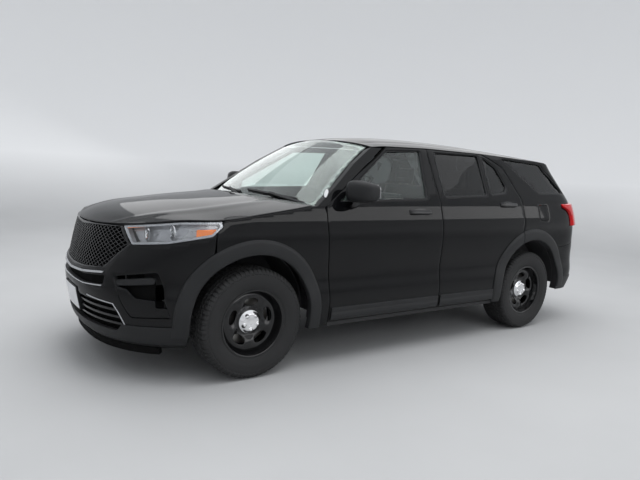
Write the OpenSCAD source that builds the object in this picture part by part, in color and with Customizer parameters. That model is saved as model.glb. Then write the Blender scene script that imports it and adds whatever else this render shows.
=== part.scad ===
// Police sport utility vehicle, five doors and two rows of seats.
// X points forward, Y to the vehicle's left, Z up. The origin is mid-length on the ground.

/* [Overall] */
// Distance between the axles
wheelbase = 3025; // [2950:1:3100]
// Nose ahead of the front axle
front_overhang = 961; // [930:1:990]
// Tail behind the rear axle
rear_overhang = 1063; // [1030:1:1095]
// Half of the width over the door skins
half_width = 985; // [955:1:1015]
// Height of the roof over the ground
height = 1765; // [1730:1:1800]

/* [Wheels] */
// Outer radius of a tyre
tyre_r = 381.5; // [372:0.5:390]
// Width of a tyre
tyre_w = 255; // [235:1:265]
// Radius of a rim's bead seat
rim_r = 228.6; // [222:0.1:235]
// Width of a rim between its flanges
rim_w = 216; // [196:1:226]
// Distance between the middles of the left and right tyres
track = 1700; // [1670:1:1715]
// Radius of a front wheel arch's edge
arch_r = 432; // [426:1:438]
// Radius of a front arch flare's outer edge
flare_r = 534; // [522:1:546]
// Radius of a wheel's spindle
spindle_r = 30; // [26:0.5:34]

/* [Panels] */
// Thickness of a door below its window
door_t = 110; // [95:1:120]
// Thickness of a door's window frame
frame_t = 50; // [44:1:56]
// Thickness of the fixed outer panels
panel_t = 30; // [24:1:36]
// Thickness of the quarter panels' walls
quarter_t = 60; // [50:1:66]
// Thickness of the roof with its lining
roof_t = 42; // [36:1:48]
// Thickness of the hood
hood_t = 34; // [28:1:40]
// Thickness of the liftgate
gate_t = 62; // [55:1:70]
// Thickness of a window pane
glass_t = 6; // [4:0.5:8]
// Gap round a panel that opens
panel_gap = 7; // [6:0.5:8]
// How far the inner edges of a panel that opens are set in
edge_draft = 20; // [16:1:24]

/* [Frame] */
// Thickness of the floor
floor_t = 25; // [20:1:30]
// Depth of a pillar behind its door
pillar_t = 55; // [45:1:65]
// Gap at a seat between two pieces
seat_gap = 0.3; // [0.2:0.05:0.5]

/* [Hidden] */

// One overrun for every cut
over = 100;
// Seam between two fixed panels
seam = 0.5;
// Facets of round shapes
$fn = 64;

// Places along the car
length = front_overhang + wheelbase + rear_overhang;
front_x = length / 2 - front_overhang;
rear_x = front_x - wheelbase;
wheel_y = track / 2;
arch_rise_share = 0.114;
arch_z = tyre_r + tyre_r * arch_rise_share;
arch_sides = 48;
// The rear arches are larger than the front ones and stand behind their axle
rear_arch_share = 1.06;
rear_arch_back_share = 0.078;
rear_arch_x = rear_x - tyre_r * rear_arch_back_share;
rear_arch_r = arch_r * rear_arch_share;
rear_flare_r = flare_r * rear_arch_share;
// Where the rounded nose and tail corners start
nose_start_share = 0.062;
tail_start_share = 0.43;
nose_s = front_x - front_overhang * nose_start_share;
tail_s = rear_x - rear_overhang * tail_start_share;
// Powers of the rounded corners in plan
nose_power = 2.5;
tail_power = 3.4;

// Stations: share of the wheelbase behind the front axle, place. Close to the wheels they keep their
// distance from the axle, between the wheels they stretch, and behind them they follow the tail.
near_share = 0.2015;
flare_room = 75.54;
near = flare_r + flare_room;
tail_unit_share = 2.8457;
hood_unit_share = 0.31769;
stations = [
    [-1, front_x + near / near_share], [0, front_x], [near_share, front_x - near],
    [1 - near_share, rear_x + near], [1, rear_x], [2, rear_x - rear_overhang * tail_unit_share],
];
places = [for (p = stations) [p[1], p[0]]];
function bx(share) = lookup(share, stations);
function share_at(x) = lookup(x, places);
// Places ahead of the front axle by shares of the front overhang, and behind it by shares of the same size
function nx(share) = share > 0 ? front_x + share * front_overhang : bx(-share * hood_unit_share);
function nose_share(x) = x > front_x ? (x - front_x) / front_overhang : -share_at(x) / hood_unit_share;
function tx(share) = rear_x - share * rear_overhang;
function hy(share) = share * half_width;
function hz(share) = share * height;
function mix(a, b, t) = a + (b - a) * t;

// Body section: height share, half-width share
section_shares = [
    [0.125, 0.940], [0.187, 0.985], [0.243, 1.000], [0.272, 1.003], [0.317, 0.998], [0.363, 0.986],
    [0.400, 0.984], [0.460, 0.993], [0.540, 0.998], [0.595, 0.988], [0.652, 0.963], [0.710, 0.925],
    [0.800, 0.835], [0.880, 0.755], [0.935, 0.700], [0.965, 0.655],
];
// Nose on the centre line: height share, front overhang share
nose_shares = [
    [0.125, 0.900], [0.170, 0.945], [0.238, 0.975], [0.317, 1.000], [0.363, 0.998], [0.400, 0.988],
    [0.570, 0.912], [0.620, 0.850], [0.700, 0.800],
];
// Tail on the centre line: height share, rear overhang share
tail_shares = [
    [0.140, 0.760], [0.200, 0.880], [0.280, 0.985], [0.360, 1.000], [0.440, 0.985], [0.500, 0.955],
    [0.600, 0.945], [0.700, 0.910], [0.800, 0.795], [0.900, 0.660], [0.960, 0.620],
];

// Smooth curve through a table of two columns, held level past its ends
function last(list) = list[len(list) - 1];
function seat(tab, v, i = 0) = i >= len(tab) - 2 || v < tab[i + 1][0] ? i : seat(tab, v, i + 1);
function run(a, b) = (b[1] - a[1]) / (b[0] - a[0]);
function slope(tab, i) = run(tab[max(i - 1, 0)], tab[min(i + 1, len(tab) - 1)]);
function smooth(tab, v) =
    let (c = min(max(v, tab[0][0]), last(tab)[0]))
    let (i = seat(tab, c))
    let (h = tab[i + 1][0] - tab[i][0])
    let (t = (c - tab[i][0]) / h)
    (2 * t ^ 3 - 3 * t ^ 2 + 1) * tab[i][1] + (t ^ 3 - 2 * t ^ 2 + t) * h * slope(tab, i)
    + (3 * t ^ 2 - 2 * t ^ 3) * tab[i + 1][1] + (t ^ 3 - t ^ 2) * h * slope(tab, i + 1);

function nose_x(z) = nx(smooth(nose_shares, z / height));
function tail_x(z) = tx(smooth(tail_shares, z / height));
function half_at(z) = hy(smooth(section_shares, z / height));

// Point of the body's skin. The place s runs from the tail's centre line along the left side to
// the nose's centre line and on to the right side; d is the depth under the outer skin.
nose_span = length / 2 - nose_s;
tail_span = length / 2 + tail_s;
function skin(s, z, d = 0) =
    s > length / 2 || s < -length / 2
    ? let (p = skin((s > 0 ? length : -length) - s, z, d)) [p[0], -p[1], z]
    : s > nose_s
    ? let (t = 90 * (length / 2 - s) / nose_span)
      [nose_s + (nose_x(z) - nose_s - d) * cos(t) ^ (2 / nose_power),
       (half_at(z) - d) * sin(t) ^ (2 / nose_power), z]
    : s < tail_s
    ? let (t = 90 * (s + length / 2) / tail_span)
      [tail_s - (tail_s - tail_x(z) - d) * cos(t) ^ (2 / tail_power),
       (half_at(z) - d) * sin(t) ^ (2 / tail_power), z]
    : [s, half_at(z) - d, z];
// Places on the skin from a lengthwise or a crosswise position
function at_x(x, z) =
    x > nose_s
    ? length / 2 - nose_span / 90 * acos(((x - nose_s) / (nose_x(z) - nose_s)) ^ (nose_power / 2))
    : x < tail_s
    ? -length / 2 + tail_span / 90 * acos(((tail_s - x) / (tail_s - tail_x(z))) ^ (tail_power / 2))
    : x;
function nose_at_y(y, z) = length / 2 - nose_span / 90 * asin((y / half_at(z)) ^ (nose_power / 2));
function tail_at_y(y, z) = -length / 2 + tail_span / 90 * asin((y / half_at(z)) ^ (tail_power / 2));

// Solid between two grids of points. Seen from outside, rows go up and columns go right.
function quad(a, b, c, d) = [[a, b, c], [a, c, d]];
module shell(outer, inner) {
    rows = len(outer);
    cols = len(outer[0]);
    n = rows * cols;
    function o(i, j) = i * cols + j;
    function b(i, j) = n + i * cols + j;
    r = rows - 1;
    c = cols - 1;
    points = concat([for (row = outer) each row], [for (row = inner) each row]);
    faces = [
        for (i = [0:r - 1], j = [0:c - 1]) each quad(o(i, j), o(i + 1, j), o(i + 1, j + 1), o(i, j + 1)),
        for (i = [0:r - 1], j = [0:c - 1]) each quad(b(i, j), b(i, j + 1), b(i + 1, j + 1), b(i + 1, j)),
        for (j = [0:c - 1]) each quad(o(0, j), o(0, j + 1), b(0, j + 1), b(0, j)),
        for (j = [0:c - 1]) each quad(o(r, j + 1), o(r, j), b(r, j), b(r, j + 1)),
        for (i = [0:r - 1]) each quad(o(i + 1, 0), o(i, 0), b(i, 0), b(i + 1, 0)),
        for (i = [0:r - 1]) each quad(o(i, c), o(i + 1, c), b(i + 1, c), b(i, c)),
    ];
    polyhedron(points, faces);
}

// Solid on the body's skin over a grid of [place, height] points, between two depths
module on_skin(grid, d0, d1) {
    shell([for (row = grid) [for (p = row) skin(p[0], p[1], d0)]],
          [for (row = grid) [for (p = row) skin(p[0], p[1], d1)]]);
}

// Ruled grid between a front and a rear line of [place, height] points
function ruled(front, rear, cols) =
    [for (i = [0:len(front) - 1]) [for (j = [0:cols]) mix(front[i], rear[i], j / cols)]];
// Ruled grid between a lower and an upper line of [place, height] points, front to rear
function stacked(low, high, rows) =
    [for (i = [0:rows]) [for (j = [0:len(low) - 1]) mix(low[j], high[j], i / rows)]];
// The same line with each stretch split into n
function split(line, n) =
    [for (i = [0:len(line) - 2], k = [0:n - 1]) mix(line[i], line[i + 1], k / n), last(line)];
// A line of the left half carried on over the nose or the tail to the right half
function both_noses(line) =
    concat([for (i = [len(line) - 1:-1:1]) [length - line[i][0], line[i][1]]], line);
function both_tails(line) =
    concat(line, [for (i = [len(line) - 2:-1:0]) [-length - line[i][0], line[i][1]]]);

// The same grid with its edges moved out by a gap, or drawn in by a negative one
function unit(v) = v / max(norm(v), probe / over);
function outwards(line, i) =
    let (n = len(line) - 1)
    i == 0 ? unit(line[0] - line[1]) : i == n ? unit(line[n] - line[n - 1]) : [0, 0];
function grown(grid, gap) =
    [for (i = [0:len(grid) - 1]) [for (j = [0:len(grid[0]) - 1])
        grid[i][j] + (outwards([for (row = grid) row[j]], i) + outwards(grid[i], j)) * gap]];

module mirrored() {
    children();
    mirror([0, 1, 0]) children();
}
module on_side(side) {
    mirror([0, side == "left" ? 0 : 1, 0]) children();
}
// Outline in X and Z carried along Y, and outline in Y and Z carried along X
module along_y(outline, y0, y1) {
    translate([0, y1, 0]) rotate([90, 0, 0]) linear_extrude(y1 - y0) polygon(outline);
}
module along_x(outline, x0, x1) {
    translate([x0, 0, 0]) rotate([90, 0, 90]) linear_extrude(x1 - x0) polygon(outline);
}
// Round bar along Y
module bar_y(r, y0, y1, x, z) {
    translate([x, y1, z]) rotate([90, 0, 0]) cylinder(r = r, h = y1 - y0);
}
module bar_x(r, x0, x1, y, z) {
    translate([x0, y, z]) rotate([0, 90, 0]) cylinder(r = r, h = x1 - x0);
}
module block(low, high) {
    translate(low) cube(high - low);
}

// Outline of a wheel arch: a many-sided half circle with upright legs
function arch_line(x, r) = concat([[x + r, 0]], [for (k = [0:arch_sides / 2])
    let (a = 360 * k / arch_sides)
    [x + r * cos(a), arch_z + r * sin(a)]], [[x - r, 0]]);
module arch_cut(x, r) {
    mirrored() along_y(arch_line(x, r), half_width / 2, half_width + over);
}

// Side lines: height share, wheelbase share behind the front axle
door_low_share = 0.187;
door_front_shares = [[0.187, 0.2015], [0.283, 0.2015], [0.602, 0.1856], [0.672, 0.1860], [0.950, 0.4355]];
pillar_seam_shares = [[0.187, 0.5837], [0.7077, 0.5820], [0.950, 0.5912]];
door_rear_shares = [
    [0.187, 0.9516], [0.508, 0.9516], [0.5575, 0.9542], [0.587, 0.9618], [0.724, 0.9595],
    [0.8895, 0.9201], [0.950, 0.8355],
];
// Heights of the rows of a door
door_row_shares = [
    0.187, 0.230, 0.272, 0.317, 0.363, 0.400, 0.460, 0.508, 0.5575, 0.602, 0.652, 0.672, 0.724, 0.800,
    0.8895, 0.9475,
];
// Roof's side line: wheelbase share, height share
roof_edge_shares = [
    [0.3796, 0.934], [0.4276, 0.9425], [0.593, 0.951], [0.830, 0.951], [1.000, 0.944], [1.138, 0.936],
    [1.20, 0.928],
];
function side_line(shares, z) = bx(lookup(z / height, shares));
function roof_edge(x) = hz(lookup(share_at(x), roof_edge_shares));

// Window outlines: wheelbase share, height share
front_window_shares = [[0.226, 0.689], [0.535, 0.709], [0.5640, 0.9366], [0.431, 0.923]];
rear_window_shares = [[0.6058, 0.7195], [0.8005, 0.7326], [0.8187, 0.9405], [0.618, 0.9354]];
rear_pane_shares = [[0.816, 0.7350], [0.8898, 0.7456], [0.9086, 0.7802], [0.887, 0.8838], [0.834, 0.9360]];
quarter_window_shares = [[1.0686, 0.7524], [1.1886, 0.7575], [1.1383, 0.9241], [0.9281, 0.9348]];
function outline_of(shares) = [for (p = shares) [bx(p[0]), hz(p[1])]];
// The same outline drawn in towards its middle, by more at its corners
corner_share = 2.4;
function middle(points) = [for (p = points) 1] * points / len(points);
function drawn_in(points, gap) =
    let (m = middle(points))
    [for (p = points) p - (p - m) * (corner_share * gap / norm(p - m))];

// Depth of a door's inner face
belt_share = 0.665;
belt_top_share = 0.70;
function door_depth(z) =
    mix(door_t, frame_t, min(max((z / height - belt_share) / (belt_top_share - belt_share), 0), 1));

// Half gap along a slanted edge, so that the gap across it stays even
probe = 1;
function edge_gap(shares, z) =
    let (lean = (side_line(shares, z + probe) - side_line(shares, z - probe)) / (2 * probe))
    panel_gap / 2 * sqrt(1 + lean ^ 2);
// Height of a door's row: level below the window's middle, then along the roof's side line
level_share = 0.800;
roof_gap = 9.8;
function door_z(share, x) =
    share <= level_share ? hz(share)
    : mix(hz(level_share), roof_edge(x) - roof_gap,
        (share - level_share) / (last(door_row_shares) - level_share));
door_cols = 6;
module door(front_shares, rear_shares, windows, has_arch) {
    grid = [for (share = door_row_shares)
        let (z = hz(share))
        let (a = side_line(front_shares, z) - edge_gap(front_shares, z))
        let (b = side_line(rear_shares, z) + edge_gap(rear_shares, z))
        [for (j = [0:door_cols])
            let (x = mix(a, b, j / door_cols))
            [x, door_z(share, x)]]];
    inner = [for (row = grid) [for (j = [0:door_cols])
        let (z = row[j][1])
        skin(row[j][0] - edge_draft * (1 - 2 * j / door_cols), z, door_depth(z))]];
    difference() {
        shell([for (row = grid) [for (p = row) skin(p[0], p[1])]], inner);
        for (shares = windows) along_y(outline_of(shares), 0, half_width + over);
        if (has_arch) arch_cut(rear_arch_x, rear_arch_r + flare_seat);
    }
}

// Pane behind a window's outline
pane_depth = 16;
module pane(shares) {
    points = outline_of(shares);
    xs = [for (p = points) p[0]];
    zs = [for (p = points) p[1]];
    cols = 4;
    rows = 4;
    grid = [for (i = [0:rows]) [for (j = [0:cols])
        [mix(max(xs) + over, min(xs) - over, j / cols),
         mix(min(zs) - over / 2, max(zs) + over / 4, i / rows)]]];
    intersection() {
        on_skin(grid, pane_depth, pane_depth + glass_t);
        along_y(drawn_in(points, seat_gap), 0, half_width + over);
    }
}

// Handles: wheelbase share of the front end, height share, both at the middle of the grip
handle_length = 250;
handle_height = 34;
handle_reach = 30;
front_handle_shares = [0.457, 0.649];
rear_handle_shares = [0.846, 0.690];
module handle(shares) {
    x = bx(shares[0]);
    z = hz(shares[1]);
    grid = [for (i = [0:2]) [for (j = [0:4])
        [x - handle_length * j / 4, z + mix(-handle_height, handle_height, i / 2) / 2]]];
    on_skin(grid, -handle_reach, panel_gap);
}

module front_door(side) {
    color("black") on_side(side) {
        door(door_front_shares, pillar_seam_shares, [front_window_shares], false);
        handle(front_handle_shares);
    }
}
module rear_door(side) {
    color("black") on_side(side) {
        door(pillar_seam_shares, door_rear_shares, [rear_window_shares, rear_pane_shares], true);
        handle(rear_handle_shares);
    }
}
module front_glass(side) {
    color("lightgreen") on_side(side) pane(front_window_shares);
}
module rear_glass(side) {
    color("dimgray") on_side(side) {
        pane(rear_window_shares);
        pane(rear_pane_shares);
    }
}

// Cladding along the doors' lower edge, seated on the skin
clad_t = 14;
clad_high_share = 0.250;
clad_inset = 12;
module cladding(front_shares, rear_shares) {
    cols = 5;
    rows = 3;
    low = hz(door_low_share) + clad_inset;
    high = hz(clad_high_share);
    grid = [for (i = [0:rows])
        let (z = mix(low, high, i / rows))
        let (a = side_line(front_shares, z) - panel_gap / 2 - clad_inset)
        let (b = side_line(rear_shares, z) + panel_gap / 2 + clad_inset)
        [for (j = [0:cols]) [mix(a, b, j / cols), z]]];
    on_skin(grid, -clad_t, -seat_gap);
}

// Flares stand out from the skin round the arches
flare_t = 22;
flare_seat = 4;
flare_stand = 2.5;
rear_flare_stand = 1.5;
flare_steps = 18;
// The angle past a half circle runs on along an upright leg
module flare(x, radii, from, to, stand) {
    grid = [for (i = [0:2]) [for (k = [0:flare_steps])
        let (a = mix(from, to, k / flare_steps))
        let (r = mix(radii[0], radii[1], i / 2))
        let (bent = min(max(a, 0), 180))
        let (leg = abs(a - bent) * PI / 180 * radii[0])
        let (z = arch_z + r * sin(bent) - leg)
        [at_x(x + r * cos(bent), z), z]]];
    on_skin(grid, -flare_t, -stand);
}

// Door mirrors: place as shares of the wheelbase and height, and the housing's sizes
mirror_x_share = 0.262;
mirror_z_share = 0.735;
mirror_reach = 190;
mirror_root = 60;
mirror_high = 150;
mirror_deep = 110;
mirror_round = 34;
module door_mirror() {
    x = bx(mirror_x_share);
    z = hz(mirror_z_share);
    y = half_at(z) + mirror_root;
    foot = hz(front_window_shares[0][1]) - mirror_round;
    rx = mirror_deep / 2 - mirror_round;
    rz = mirror_high / 2 - mirror_round;
    stalk_r = mirror_round / 2;
    hull()
        for (dy = [mirror_round, mirror_reach - mirror_round], dz = [-rz, rz], dx = [-rx, rx])
            translate([x + dx, y + dy, z + dz]) sphere(r = mirror_round, $fn = 12);
    hull() {
        translate([x, y + mirror_root, z - rz]) sphere(r = stalk_r, $fn = 8);
        translate([x, half_at(foot) + stalk_r + seat_gap, foot]) sphere(r = stalk_r, $fn = 8);
    }
}
module front_trim(side) {
    color("dimgray") on_side(side) {
        cladding(door_front_shares, pillar_seam_shares);
        door_mirror();
    }
}
flare_split_deg = acos((bx(door_rear_shares[0][1]) - rear_arch_x) / rear_flare_r);
flare_low_deg = -14;
flare_lap_deg = 12;
flare_end_deg = 196;
rear_flare_end_deg = 184;
rear_radii = [rear_arch_r, rear_flare_r];
module rear_trim(side) {
    color("dimgray") on_side(side) {
        difference() {
            cladding(pillar_seam_shares, door_rear_shares);
            arch_cut(rear_arch_x, rear_flare_r + flare_seat);
        }
        difference() {
            flare(rear_arch_x, rear_radii, flare_low_deg, flare_split_deg + flare_lap_deg, rear_flare_stand);
            block([rear_arch_x - rear_flare_r, 0, 0],
                [bx(door_rear_shares[0][1]) + panel_gap / 2, half_width + over, height]);
        }
    }
}
// Hood: rows from the cowl to the nose. Columns: edge x share and height share of the shut line,
// centre x share and height share; x shares count front overhangs ahead of the front axle.
hood_shares = [
    [-0.478, 0.6735, -0.352, 0.6865],
    [-0.320, 0.6590, -0.170, 0.6775],
    [-0.045, 0.6370, 0.080, 0.6650],
    [0.236, 0.6147, 0.330, 0.6504],
    [0.482, 0.6096, 0.590, 0.6277],
    [0.652, 0.5960, 0.766, 0.6040],
    [0.785, 0.5841, 0.912, 0.5680],
];
hood_power = 2.5;
hood_lip = 45;
hood_cols = 12;
function hood_edge(row, gap, d = 0) =
    let (z = hz(row[1]))
    skin(at_x(nx(row[0]), z), z, gap + d);
function hood_place(row, u, draw) =
    let (e = hood_edge(row, panel_gap))
    let (x = mix(nx(row[2]), e[0], u ^ 2))
    [row == last(hood_shares) ? x - draw : row == hood_shares[0] ? x + draw : x,
     u * (e[1] - draw),
     mix(hz(row[3]), e[2], abs(u) ^ hood_power)];
// The under side thins out to a fold at the side and front edges, over the fenders and lamps
hood_fold = 1.5;
function hood_drop(row, u) = abs(u) == 1 || row == last(hood_shares) ? hood_fold : hood_t;
function hood_grid(under) =
    [for (i = [len(hood_shares) - 1:-1:0]) [for (j = [0:hood_cols])
        let (row = hood_shares[i])
        let (u = 2 * j / hood_cols - 1)
        hood_place(row, u, under * hood_lip) - [0, 0, under * hood_drop(row, u)]]];
module hood() {
    color("black") shell(hood_grid(0), hood_grid(1));
}

// Windshield: base and top lines bowed forward in the middle
// Columns: corner x, centre x (wheelbase shares), half-width share, corner and centre height shares
windshield_shares = [
    [0.1660, 0.1240, 0.9065, 0.6600, 0.6640],
    [0.3790, 0.3590, 0.6435, 0.9330, 0.9640],
];
windshield_bulge = 26;
windshield_lift_share = 0.85;
windshield_rows = 6;
windshield_cols = 10;
function windshield_point(u, v, drop) =
    let (a = windshield_shares[0])
    let (b = windshield_shares[1])
    let (x = mix(mix(bx(a[1]), bx(a[0]), u ^ 2), mix(bx(b[1]), bx(b[0]), u ^ 2), v))
    let (y = u * mix(hy(a[2]), hy(b[2]), v))
    let (z = mix(mix(hz(a[4]), hz(a[3]), u ^ 2), mix(hz(b[4]), hz(b[3]), u ^ 2), v))
    let (rise = windshield_bulge * 4 * v * (1 - v))
    [x + (rise - drop) / 2, y, z + (rise - drop) * windshield_lift_share];
module windshield() {
    function grid(drop) =
        [for (i = [0:windshield_rows]) [for (j = [0:windshield_cols])
            windshield_point(2 * j / windshield_cols - 1, i / windshield_rows, drop)]];
    color("lightgreen") shell(grid(0), grid(glass_t));
}

// Roof: wheelbase share, height share of the centre line
roof_shares = [
    [0.3590, 0.9650], [0.440, 0.9860], [0.540, 0.9965], [0.660, 1.0000], [0.800, 0.9970], [0.960, 0.9850],
    [1.080, 0.9720], [1.172, 0.9570],
];
roof_power = 2.6;
roof_cols = 10;
roof_front_bow_share = 0.020;
roof_front_gap = 6.4;
// Liftgate hinge tabs at the roof's rear edge
hinge_y_shares = [0.28, 0.32];
hinge_z_shares = [0.938, 0.947];
module roof() {
    // The under side is drawn in, so that the roof's rim lies on the door frames and quarters
    rim = quarter_t + panel_gap;
    function grid(under) =
        [for (i = [len(roof_shares) - 1:-1:0])
            let (x = bx(roof_shares[i][0]))
            let (bow = i == 0 ? roof_front_bow_share * wheelbase : 0)
            let (z = roof_edge(x - bow))
            let (y = half_at(z) - under * rim)
            [for (j = [0:roof_cols])
                let (u = 1 - 2 * j / roof_cols)
                [x - bow * u ^ 2 - roof_front_gap, u * y,
                 mix(hz(roof_shares[i][1]) - under * roof_t, z + under * seam * 2, abs(u) ^ roof_power)]]];
    color("black") {
        shell(grid(0), grid(1));
        mirrored() block([bx(spoiler_shares[0][0]) + seat_gap, hy(hinge_y_shares[0]), hz(hinge_z_shares[0])],
            [bx(last(roof_shares)[0]), hy(hinge_y_shares[1]), hz(hinge_z_shares[1])]);
    }
}

// Fascia under the grille and the lamps
// Left half of its top line: crosswise share and height share, then x share ahead of the axle
grille_low_shares = [[0, 0.388], [0.27, 0.398], [0.5127, 0.4142]];
grille_side_share = [0.670, 0.5093];
lamp_low_share = [0.8437, 0.5241];
lamp_back_shares = [[0.325, 0.5541], [0.258, 0.5898], [0.236, 0.6113]];
fascia_low_share = 0.136;
fascia_side_share = 0.300;
fascia_rows = 9;
function on_nose(p) = [nose_at_y(hy(p[0]), hz(p[1])), hz(p[1])];
function on_flank(p) = [at_x(nx(p[0]), hz(p[1])), hz(p[1])];
function fascia_top() = concat(
    [for (p = grille_low_shares) on_nose(p)], [on_nose(grille_side_share), on_nose(lamp_low_share)],
    [on_flank([fascia_side_share, lamp_back_shares[0][1]])]);
// The top line runs on under the grille and the lamps, whose room is then cut away
fascia_extra = 12;
fascia_line = both_noses([for (p = split(fascia_top(), 2)) [p[0], p[1] + fascia_extra]]);
// Openings: crosswise share, height share
slot_shares = [[-0.516, 0.352], [-0.3, 0.342], [0.3, 0.342], [0.516, 0.352], [0.525, 0.388], [0.3, 0.376],
    [-0.3, 0.376], [-0.525, 0.388]];
intake_shares = [[-0.675, 0.187], [0.675, 0.187], [0.630, 0.262], [0.600, 0.289], [-0.600, 0.289],
    [-0.630, 0.262]];
pocket_shares = [[0.599, 0.392], [0.818, 0.419], [0.845, 0.365], [0.879, 0.2555], [0.7066, 0.247],
    [0.66, 0.300]];
function across(shares) = [for (p = shares) [hy(p[0]), hz(p[1])]];
module front_fascia() {
    low = [for (p = fascia_line) [p[0], hz(fascia_low_share)]];
    color("black") difference() {
        on_skin(stacked(low, fascia_line, fascia_rows), 0, panel_t);
        along_x(across(slot_shares), front_x, length / 2 + over);
        along_x(across(intake_shares), front_x, length / 2 + over);
        mirrored() along_x(across(pocket_shares), front_x, length / 2 + over);
        arch_cut(front_x, arch_r + flare_seat);
        grille_room();
        mirrored() lamp_room(2 * seam);
    }
}

// Dark inserts behind the openings, and the lip under the fascia
trim_back = 46;
lip_low_share = 0.108;
lip_reach = 4;
trim_side_share = 0.60;
trim_high_share = 0.382;
trim_back_gap = 7;
trim_cols = 10;
trim_rows = 7;
module lower_trim() {
    end = at_x(nx(trim_side_share), hz(lip_low_share));
    line = both_noses([for (k = [0:trim_cols]) [mix(length / 2, end, k / trim_cols), 0]]);
    function level(share) = [for (p = line) [p[0], hz(share)]];
    color("dimgray") difference() {
        union() {
            on_skin(stacked(level(lip_low_share), level(trim_high_share), trim_rows),
                panel_t + trim_back_gap, trim_back);
            on_skin(stacked(level(lip_low_share), [for (p = line) [p[0], hz(fascia_low_share) - seam]], 2),
                -lip_reach, trim_back - trim_back_gap);
        }
        arch_cut(front_x, arch_r + flare_seat);
    }
}

// Grille: a diagonal mesh inside a border, following the nose
grille_t = 24;
grille_depth = 6;
grille_border = 22;
mesh_pitch_y = 62;
mesh_pitch_z = 44;
mesh_bar = 11;
grille_rows = 6;
grille_outline_shares = [
    [0.5800, 0.5720], [0.670, 0.5093], [0.5127, 0.4142], [0.27, 0.398], [0, 0.388], [-0.27, 0.398],
    [-0.5127, 0.4142], [-0.670, 0.5093], [-0.5800, 0.5720], [-0.30, 0.5650], [0, 0.5610], [0.30, 0.5650],
];
// Extent of the plate that the mesh is cut from: half-width share, lowest and highest height shares
grille_plate_shares = [0.70, 0.36, 0.60];
mesh_low_share = 0.385;
mesh_lean_share = 1.3;
module grille_room() {
    along_x(drawn_in(across(grille_outline_shares), -seam), front_x, length / 2 + over);
}
module diamond(w, h) {
    polygon([[w / 2, 0], [0, h / 2], [-w / 2, 0], [0, -h / 2]]);
}
module grille() {
    outline = across(grille_outline_shares);
    m = middle(outline);
    inner = [for (p = outline) p - (p - m) * (grille_border / norm(p - m))];
    end = nose_at_y(hy(grille_plate_shares[0]), hz(grille_outline_shares[2][1]));
    line = both_noses([for (k = [0:grille_rows]) [mix(length / 2, end, k / grille_rows), 0]]);
    grid = stacked([for (p = line) [p[0], hz(grille_plate_shares[1])]],
        [for (p = line) [p[0], hz(grille_plate_shares[2])]], grille_rows);
    ny = ceil(hy(grille_plate_shares[0]) / mesh_pitch_y);
    nz = floor(hz(grille_plate_shares[2] - mesh_low_share) / mesh_pitch_z);
    color("black") difference() {
        intersection() {
            on_skin(grid, grille_depth, grille_depth + grille_t);
            along_x(drawn_in(outline, seat_gap), front_x, length / 2 + over);
        }
        translate([front_x, 0, 0]) rotate([90, 0, 90]) linear_extrude(front_overhang + over)
            intersection() {
                polygon(inner);
                for (i = [-ny:ny], k = [0:nz], h = [0, 1])
                    translate([(i + h / 2) * mesh_pitch_y, hz(mesh_low_share) + (k + h / 2) * mesh_pitch_z])
                        diamond(mesh_pitch_y - mesh_bar * mesh_lean_share, mesh_pitch_z - mesh_bar);
            }
    }
}

// Headlamps: a lens on the skin, and a bowl behind it
// Crosswise and height shares of the inner end and of the top, x and height shares of the rear top
lens_t = 6;
lamp_deep = 70;
lamp_wall = 14;
lamp_end_shares = [[0.677, 0.5116], [0.588, 0.5740]];
lamp_top_share = [0.8630, 0.6010];
lamp_rear_shares = [[0.360, 0.6045], [0.262, 0.6070]];
lamp_cols = 3;
lamp_rows = 3;
function lamp_low() = [on_nose(lamp_end_shares[0]), on_nose(lamp_low_share),
    on_flank(lamp_back_shares[0]), on_flank(lamp_back_shares[1])];
function lamp_high() = [on_nose(lamp_end_shares[1]), on_nose(lamp_top_share),
    on_flank(lamp_rear_shares[0]), on_flank(lamp_rear_shares[1])];
function lamp_grid(rows) =
    stacked([for (p = split(lamp_low(), lamp_cols)) [p[0], p[1] + seam]],
        split(lamp_high(), lamp_cols), rows);
module headlamp_lenses() {
    color("white") mirrored() difference() {
        on_skin(lamp_grid(lamp_rows), 0, lens_t);
        grille_room();
    }
}
module lamp_room(gap) {
    on_skin(grown(lamp_grid(lamp_rows), gap), -over, lamp_deep + gap);
}
module headlamp_housings() {
    grid = lamp_grid(lamp_rows);
    color("gray") mirrored() difference() {
        on_skin(grid, lens_t + seat_gap, lamp_deep);
        on_skin(grown(grid, -lamp_wall), 0, lamp_deep - lamp_wall);
        grille_room();
    }
}

// Fenders between the fascia, the hood and the front doors
fender_low_share = 0.170;
fender_rows = 10;
fender_cols = 10;
shut_shares = [[-0.478, 0.6735], [-0.320, 0.6590], [-0.045, 0.6370], [0.236, 0.6147], [0.30, 0.612]];
function shut_line(x) = hz(lookup(nose_share(x), shut_shares));
fender_top_shares = [0.6147, 0.672];
fender_front_shares = [[0.170, 0.298], [0.5541, 0.298], [0.5898, 0.298], [0.6113, 0.245], [0.62, 0.236]];
fender_back_shares = [[0.170, 0.2015], [0.283, 0.2015], [0.602, 0.1856], [0.672, 0.1860]];
module fenders() {
    grid = [for (i = [0:fender_rows])
        [for (j = [0:fender_cols])
            let (f = i / fender_rows)
            let (front = mix(fender_low_share, fender_top_shares[0], f))
            let (back = mix(fender_low_share, fender_top_shares[1], f))
            let (x0 = nx(lookup(front, fender_front_shares)) - seam)
            let (x1 = bx(lookup(back, fender_back_shares)) + panel_gap / 2)
            let (x = mix(x0, x1, j / fender_cols))
            let (z = mix(hz(fender_low_share), shut_line(x) - panel_gap, f))
            [at_x(x, z), z]]];
    color("black") mirrored() difference() {
        on_skin(grid, 0, panel_t);
        arch_cut(front_x, arch_r + flare_seat);
        lamp_room(2 * seam);
    }
}

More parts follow.
